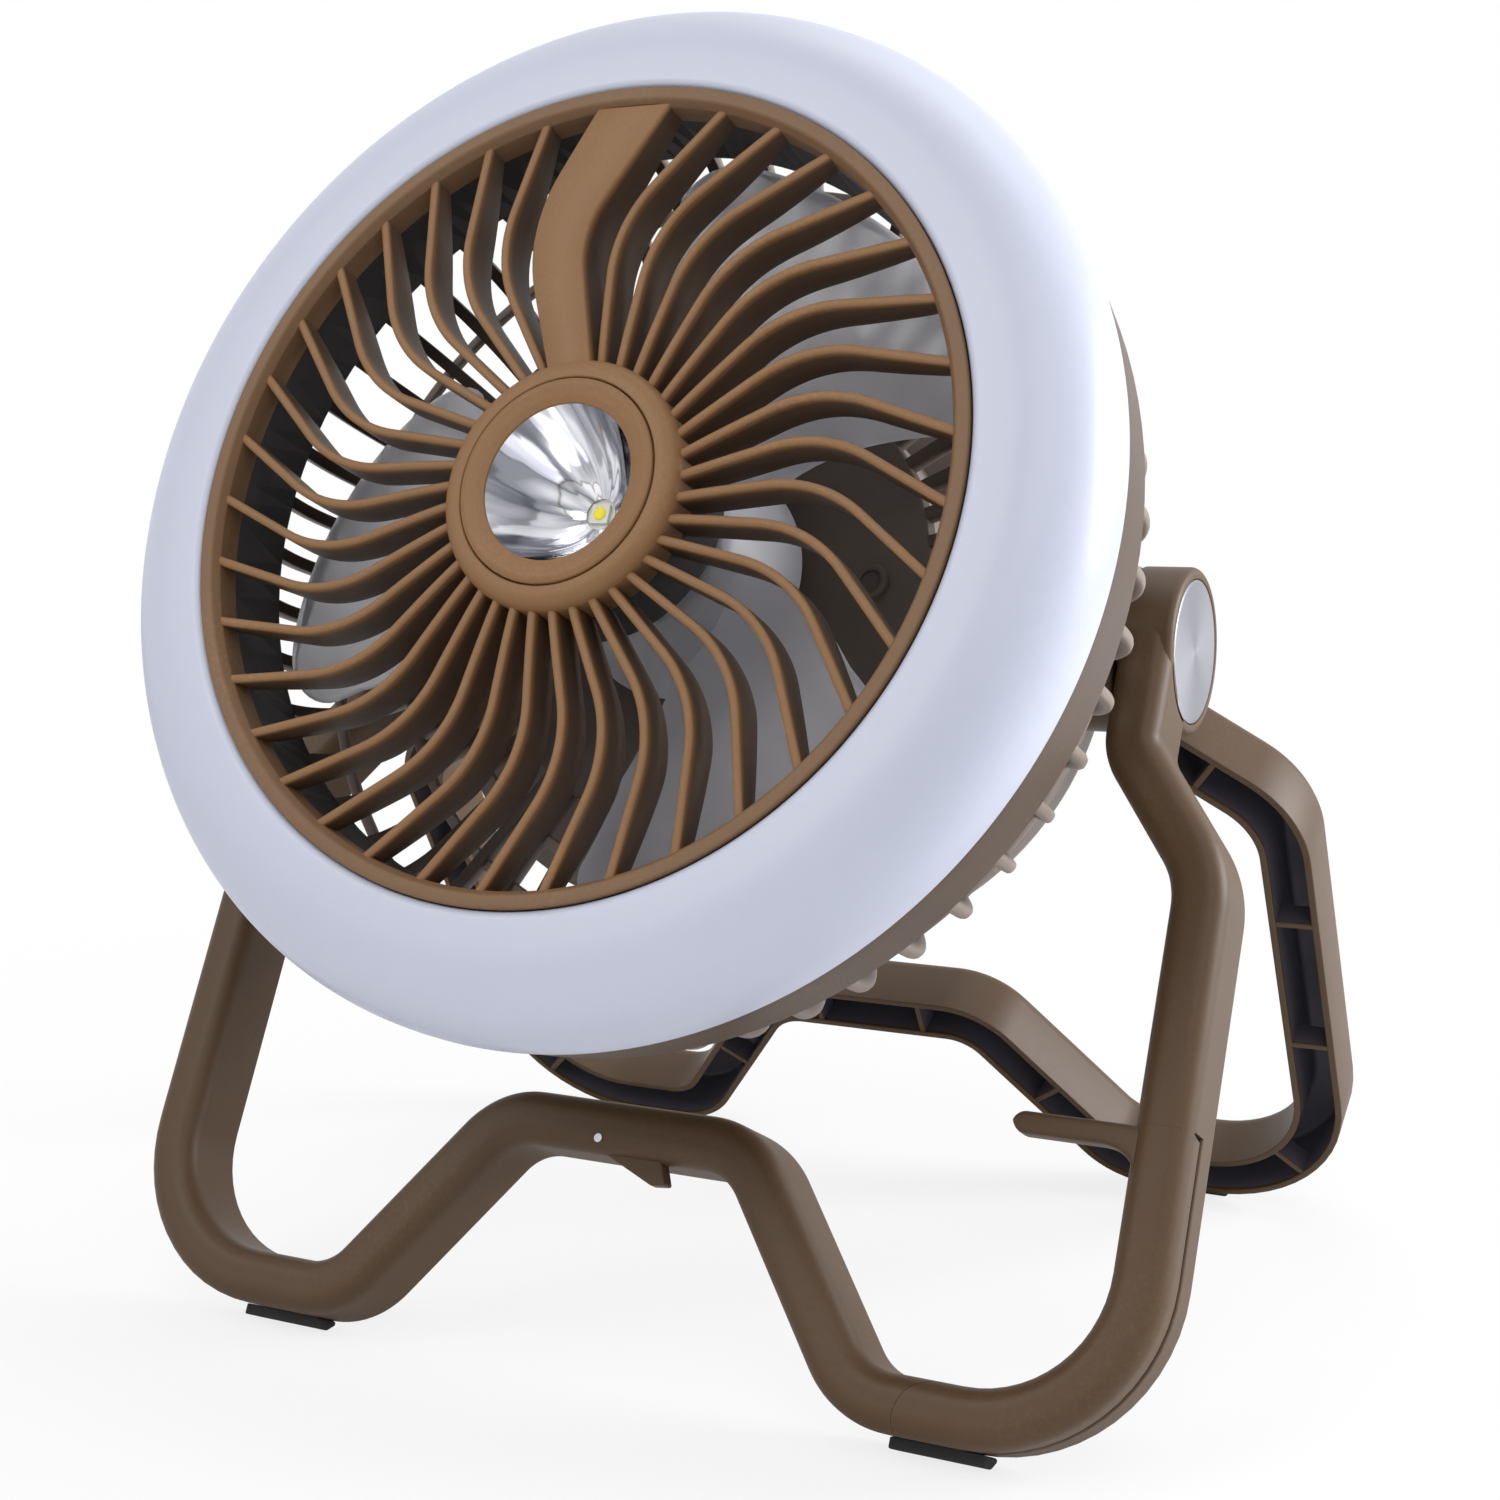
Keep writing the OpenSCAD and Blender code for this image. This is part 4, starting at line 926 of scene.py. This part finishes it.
# one blade between its two edges, with a thin rounded section and a slight
# belly; near the tip both edges run into it along an ellipse's quarter
def bladeSet(name, columns=22):
    bend = np.sin(np.linspace(0, math.pi / 2, 12)[1:])
    trailFrom, leadFrom, tip = rotor["trailRoundFrom"], rotor["leadRoundFrom"], rotor["tip"]
    radius = np.r_[np.linspace(rotor["root"], trailFrom, 16),
                   trailFrom + (tip - trailFrom) * bend][:, None]
    around = np.linspace(0, 2 * math.pi, 2 * columns, endpoint=False)
    q = np.cos(around)[None, :]
    side = np.sign(np.sin(around))[None, :]
    thick = 0.5 * rotor["thickness"] * np.sqrt(np.clip(1 - np.abs(q) ** 16, 0, 1)) * side
    trail, trailLevel, lead, leadLevel = (
        np.interp(radius, bladeEdges["radius"], bladeEdges[key])
        for key in ("trail", "trailLevel", "lead", "leadLevel"))
    u = ((radius - trailFrom) / (tip - trailFrom)).clip(0, 1)
    v = ((radius - leadFrom) / (tip - leadFrom)).clip(0, 1)
    trail = trail + rotor["trailSweep"] * (1 - np.sqrt(1 - u ** 2))
    lead = lead - rotor["leadSweep"] * (1 - np.sqrt(1 - v ** 2))
    angle = np.radians((trail + lead) / 2 + q * (lead - trail) / 2)
    level = ((trailLevel + leadLevel) / 2 + q * (leadLevel - trailLevel) / 2
             + rotor["belly"] * (1 - q ** 2) + thick)
    turns = np.arange(rotor["blades"])[:, None, None] * 2 * math.pi / rotor["blades"]
    return gridPiece(name, polar(radius + 0 * q, angle + turns, level + 0 * turns),
                     closeColumns=True, capped=True, sharpAngle=60)


fitFor("impeller", bladeSet("fanBlades"))
underLid = rotor["front"] - rotor["lid"]
hubShell = roundedLoop([
    (rotor["bore"], rotor["back"], 0.0), (rotor["boss"], rotor["back"], 0.0),
    (rotor["boss"], underLid, 1.0), (rotor["hubFront"] - rotor["shell"], underLid, 1.0),
    (rotor["hubBack"] - rotor["shell"], rotor["back"], 0.3),
    (rotor["hubBack"], rotor["back"], 0.4), (rotor["hubFront"], rotor["front"], 4.0),
    (rotor["bore"], rotor["front"], 0.0)], steps=6)
fitFor("impeller", turnedPiece("fanHub", hubShell))
print("fan made")

cage = {
    "ribs": 52, "width": 3.0, "radius": 114.0, "round": 24.0, "bendLevel": 54.0,
    "height": 4.2, "inner": 56.0, "front": 65.0,
    "rings": [(86.0, 30.5), (72.0, 30.5), (104.6, 34.6)], "ringWide": 2.6, "ringHigh": 2.3,
    "collar": [(108.0, 63.0), (113.4, 66.0)], "plate": [(6.0, 29.6), (58.0, 34.4)],
    "bosses": 4, "bossTurn": 4.0, "bossCircle": 44.0, "bossRadius": 4.2, "bossHole": 2.6,
    "bossBack": 34.3, "bossFloor": 35.2, "bossTop": 36.4,
}


# middle line of a rib in radius and level: outwards, round the shoulder and
# forwards; the section is a rounded strip across it
def ribSet(name):
    arcRadius = cage["round"] - cage["height"] / 2
    centre = np.array([cage["radius"] - cage["round"], cage["bendLevel"]])
    bottom = centre[1] - arcRadius
    inward = np.stack([np.linspace(cage["inner"], centre[0], 8), np.full(8, bottom)], -1)
    angle = np.linspace(-math.pi / 2, 0, 15)[1:]
    arc = centre + arcRadius * np.stack([np.cos(angle), np.sin(angle)], -1)
    upward = np.stack([np.full(3, centre[0] + arcRadius),
                       np.linspace(centre[1] + 3, cage["front"], 3)], -1)
    line = np.vstack([inward, arc, upward])
    way = np.gradient(line, axis=0)
    way /= np.linalg.norm(way, axis=1)[:, None]
    normal = np.stack([way[:, 1], -way[:, 0]], -1)
    side, high = cage["width"] / 2, cage["height"] / 2
    section = roundedLoop([(-side, -high, 0.3), (side, -high, 0.3),
                           (side, high, 1.15), (-side, high, 1.15)], steps=3)
    radius = line[:, :1] + normal[:, :1] * section[None, :, 1]
    level = line[:, 1:] + normal[:, 1:] * section[None, :, 1]
    turns = np.arange(cage["ribs"]) * 2 * math.pi / cage["ribs"]
    # painted shade: the ribs' inner sides turn darker
    paintedShade = (0.75 - section[:, 1]).clip(0, 1)
    return gridPiece(name, turnedCopies(radius, section[None, :, 0], level, turns),
                     closeColumns=True, capped=True, sharpAngle=50, paintedShade=paintedShade)


# a band between two corners of (radius, level), with its four edges rounded
def bandLoop(low, high, rounds):
    corners = [low, (high[0], low[1]), high, (low[0], high[1])]
    return roundedLoop([(*corner, edge) for corner, edge in zip(corners, rounds)], steps=3)


# screw bosses on the plate: low rings with a recessed middle, on a circle
def bossSet(name):
    loop = roundedLoop([
        (0.0, cage["bossBack"], 0), (cage["bossRadius"], cage["bossBack"], 0),
        (cage["bossRadius"], cage["bossTop"], 0.6), (cage["bossHole"], cage["bossTop"], 0.3),
        (cage["bossHole"], cage["bossFloor"], 0.2), (0.0, cage["bossFloor"], 0)], steps=3)
    count, out = cage["bosses"], cage["bossCircle"]
    turn = np.radians(cage["bossTurn"] + 360.0 / count * np.arange(count))[:, None, None]
    around = np.linspace(0, 2 * math.pi, 40, endpoint=False)[None, :, None]
    radius, level = loop.T[:, None, None]
    return gridPiece(name, toHead(out * np.cos(turn) + radius * np.cos(around),
                                  out * np.sin(turn) + radius * np.sin(around), level),
                     closeRows=True, merge=True)


fitFor("rear_cage", ribSet("cageRibs"))
for index, (radius, level) in enumerate(cage["rings"]):
    ringLoop = bandLoop((radius - cage["ringWide"], level),
                        (radius, level + cage["ringHigh"]), [0.5] * 4)
    fitFor("rear_cage", turnedPiece("cageRing%d" % (index + 1), ringLoop))
collarLoop = bandLoop(*cage["collar"], [0.3, 0.5, 0.0, 0.0])
fitFor("rear_cage", turnedPiece("cageCollar", collarLoop, steps=256))
plateLoop = bandLoop(*cage["plate"], [0.4, 0.4, 0.8, 0.8])
fitFor("rear_cage", turnedPiece("cagePlate", plateLoop), plateShadeBrown)
fitFor("rear_cage", bossSet("plateBosses"), plateShadeBrown)
print("cage made")

# degrees, millimetres from the tilt point, and the focal length in points of a
# picture that is 1500 points wide
view = {
    "azimuth": 27.2, "elevation": 8.78, "roll": -0.99, "distance": 576.76,
    "right": 3.36, "up": 28.69, "focal": 2281.77, "frame": 1500.0, "sensor": 36.0,
}
# metres and watts: size, power, place, target, colour
lamps = {
    "keyLamp": (0.9, 6.5, (-0.60, -1.05, 1.15), (0.0, 0.0, 0.16), (1.0, 0.98, 0.95)),
    "fillLamp": (0.9, 4.5, (0.65, -0.95, 1.30), (0.0, 0.0, 0.18), (1.0, 0.99, 0.97)),
    "sideLamp": (0.7, 18.0, (1.15, 0.62, 0.52), (0.0, 0.0, 0.12), (0.97, 0.98, 1.0)),
    "topLamp": (1.0, 4.0, (0.1, 0.35, 1.5), (0.0, 0.0, 0.15), (1.0, 1.0, 1.0)),
}
# metres; the camera sees the floor as plain white by a share that grows to 1
# between two distances from the middle
room = {
    "reach": 6.0, "drop": 0.0002, "tone": (0.90, 0.90, 0.90), "light": (0.93, 0.93, 0.93),
    "plain": 0.80, "shadeFrom": 0.16, "shadeTo": 0.55, "sky": (0.97, 0.98, 1.0),
    "skyStrength": 0.45,
}


def addCamera():
    az, el, roll = (math.radians(view[key]) for key in ("azimuth", "elevation", "roll"))
    toward = Vector((math.sin(az) * math.cos(el), -math.cos(az) * math.cos(el),
                     math.sin(el)))
    right = Vector((math.cos(az), math.sin(az), 0.0))
    up = toward.cross(right)
    rolledRight = right * math.cos(roll) + up * math.sin(roll)
    rolledUp = up * math.cos(roll) - right * math.sin(roll)
    place = (Vector(tiltPoint) + mm * (toward * view["distance"]
             - rolledRight * view["right"] - rolledUp * view["up"]))
    data = bpy.data.cameras.new("viewCamera")
    data.sensor_width = view["sensor"]
    data.lens = view["focal"] * view["sensor"] / view["frame"]
    data.clip_start, data.clip_end = 0.01, 30.0
    camera = bpy.data.objects.new("viewCamera", data)
    turn = Matrix((rolledRight, rolledUp, toward)).transposed().to_4x4()
    camera.matrix_world = Matrix.Translation(place) @ turn
    scene.collection.objects.link(camera)
    scene.camera = camera


def addLamp(name, size, power, place, target, tone):
    data = bpy.data.lights.new(name, "AREA")
    data.shape, data.size, data.energy, data.color = "DISK", size, power, tone
    lamp = bpy.data.objects.new(name, data)
    lamp.location = place
    way = Vector(target) - Vector(place)
    lamp.rotation_euler = way.to_track_quat("-Z", "Y").to_euler()
    scene.collection.objects.link(lamp)


# a Mix Shader before the output: the first shader at 0, the second at 1
def mixShaders(tree, share, first, second, output):
    mixer = tree.nodes.new("ShaderNodeMixShader")
    for place, socket in enumerate((share.socket, first, second)):
        tree.links.new(socket, mixer.inputs[place])
    tree.links.new(mixer.outputs[0], tree.nodes[output].inputs["Surface"])


def addFloor():
    mesh = bpy.data.meshes.new("paleFloor")
    reach = room["reach"]
    mesh.from_pydata([(-reach, -reach, 0), (reach, -reach, 0), (reach, reach, 0),
                      (-reach, reach, 0)], [], [(0, 1, 2, 3)])
    floor = bpy.data.objects.new("paleFloor", mesh)
    floor.location.z = -room["drop"]
    scene.collection.objects.link(floor)
    material, tree, shader, place = startFinish("paleFloor")
    fine = place.noise(3.0, 2.0)
    x, y = place.part("X"), place.part("Y")
    far = (x * x + y * y).root().between(room["shadeFrom"], room["shadeTo"])
    drive(tree, shader, Base_Color=fine.mixed(colour(*room["tone"]), colour(*room["light"])),
          Roughness=0.8)
    glow = tree.nodes.new("ShaderNodeEmission")
    path = tree.nodes.new("ShaderNodeLightPath")
    # the floor keeps the shadow near the object and is plain white further off
    share = room["plain"] + (1 - room["plain"]) * far
    mixShaders(tree, share * Wire(tree, path.outputs["Is Camera Ray"]),
               shader.outputs[0], glow.outputs[0], "Material Output")
    dress(floor, material)


def addWorld():
    world = bpy.data.worlds.new("studio")
    scene.world = world
    world.use_nodes = True
    tree = world.node_tree
    sky = tree.nodes["Background"]
    sky.inputs["Color"].default_value = colour(*room["sky"])
    sky.inputs["Strength"].default_value = room["skyStrength"]
    plain = tree.nodes.new("ShaderNodeBackground")
    plain.inputs["Color"].default_value = colour(1, 1, 1)
    path = tree.nodes.new("ShaderNodeLightPath")
    # the camera, mirrors and clear pieces see a plain white room
    seen = Wire(tree, path.outputs["Is Camera Ray"])
    for other in ("Is Glossy Ray", "Is Transmission Ray"):
        seen = seen.maths("MAXIMUM", seen, Wire(tree, path.outputs[other]))
    mixShaders(tree, seen, sky.outputs[0], plain.outputs[0], "World Output")


addCamera()
for name, values in lamps.items():
    addLamp(name, *values)
addFloor()
addWorld()
scene.view_settings.view_transform = "Standard"
print("room and camera set")
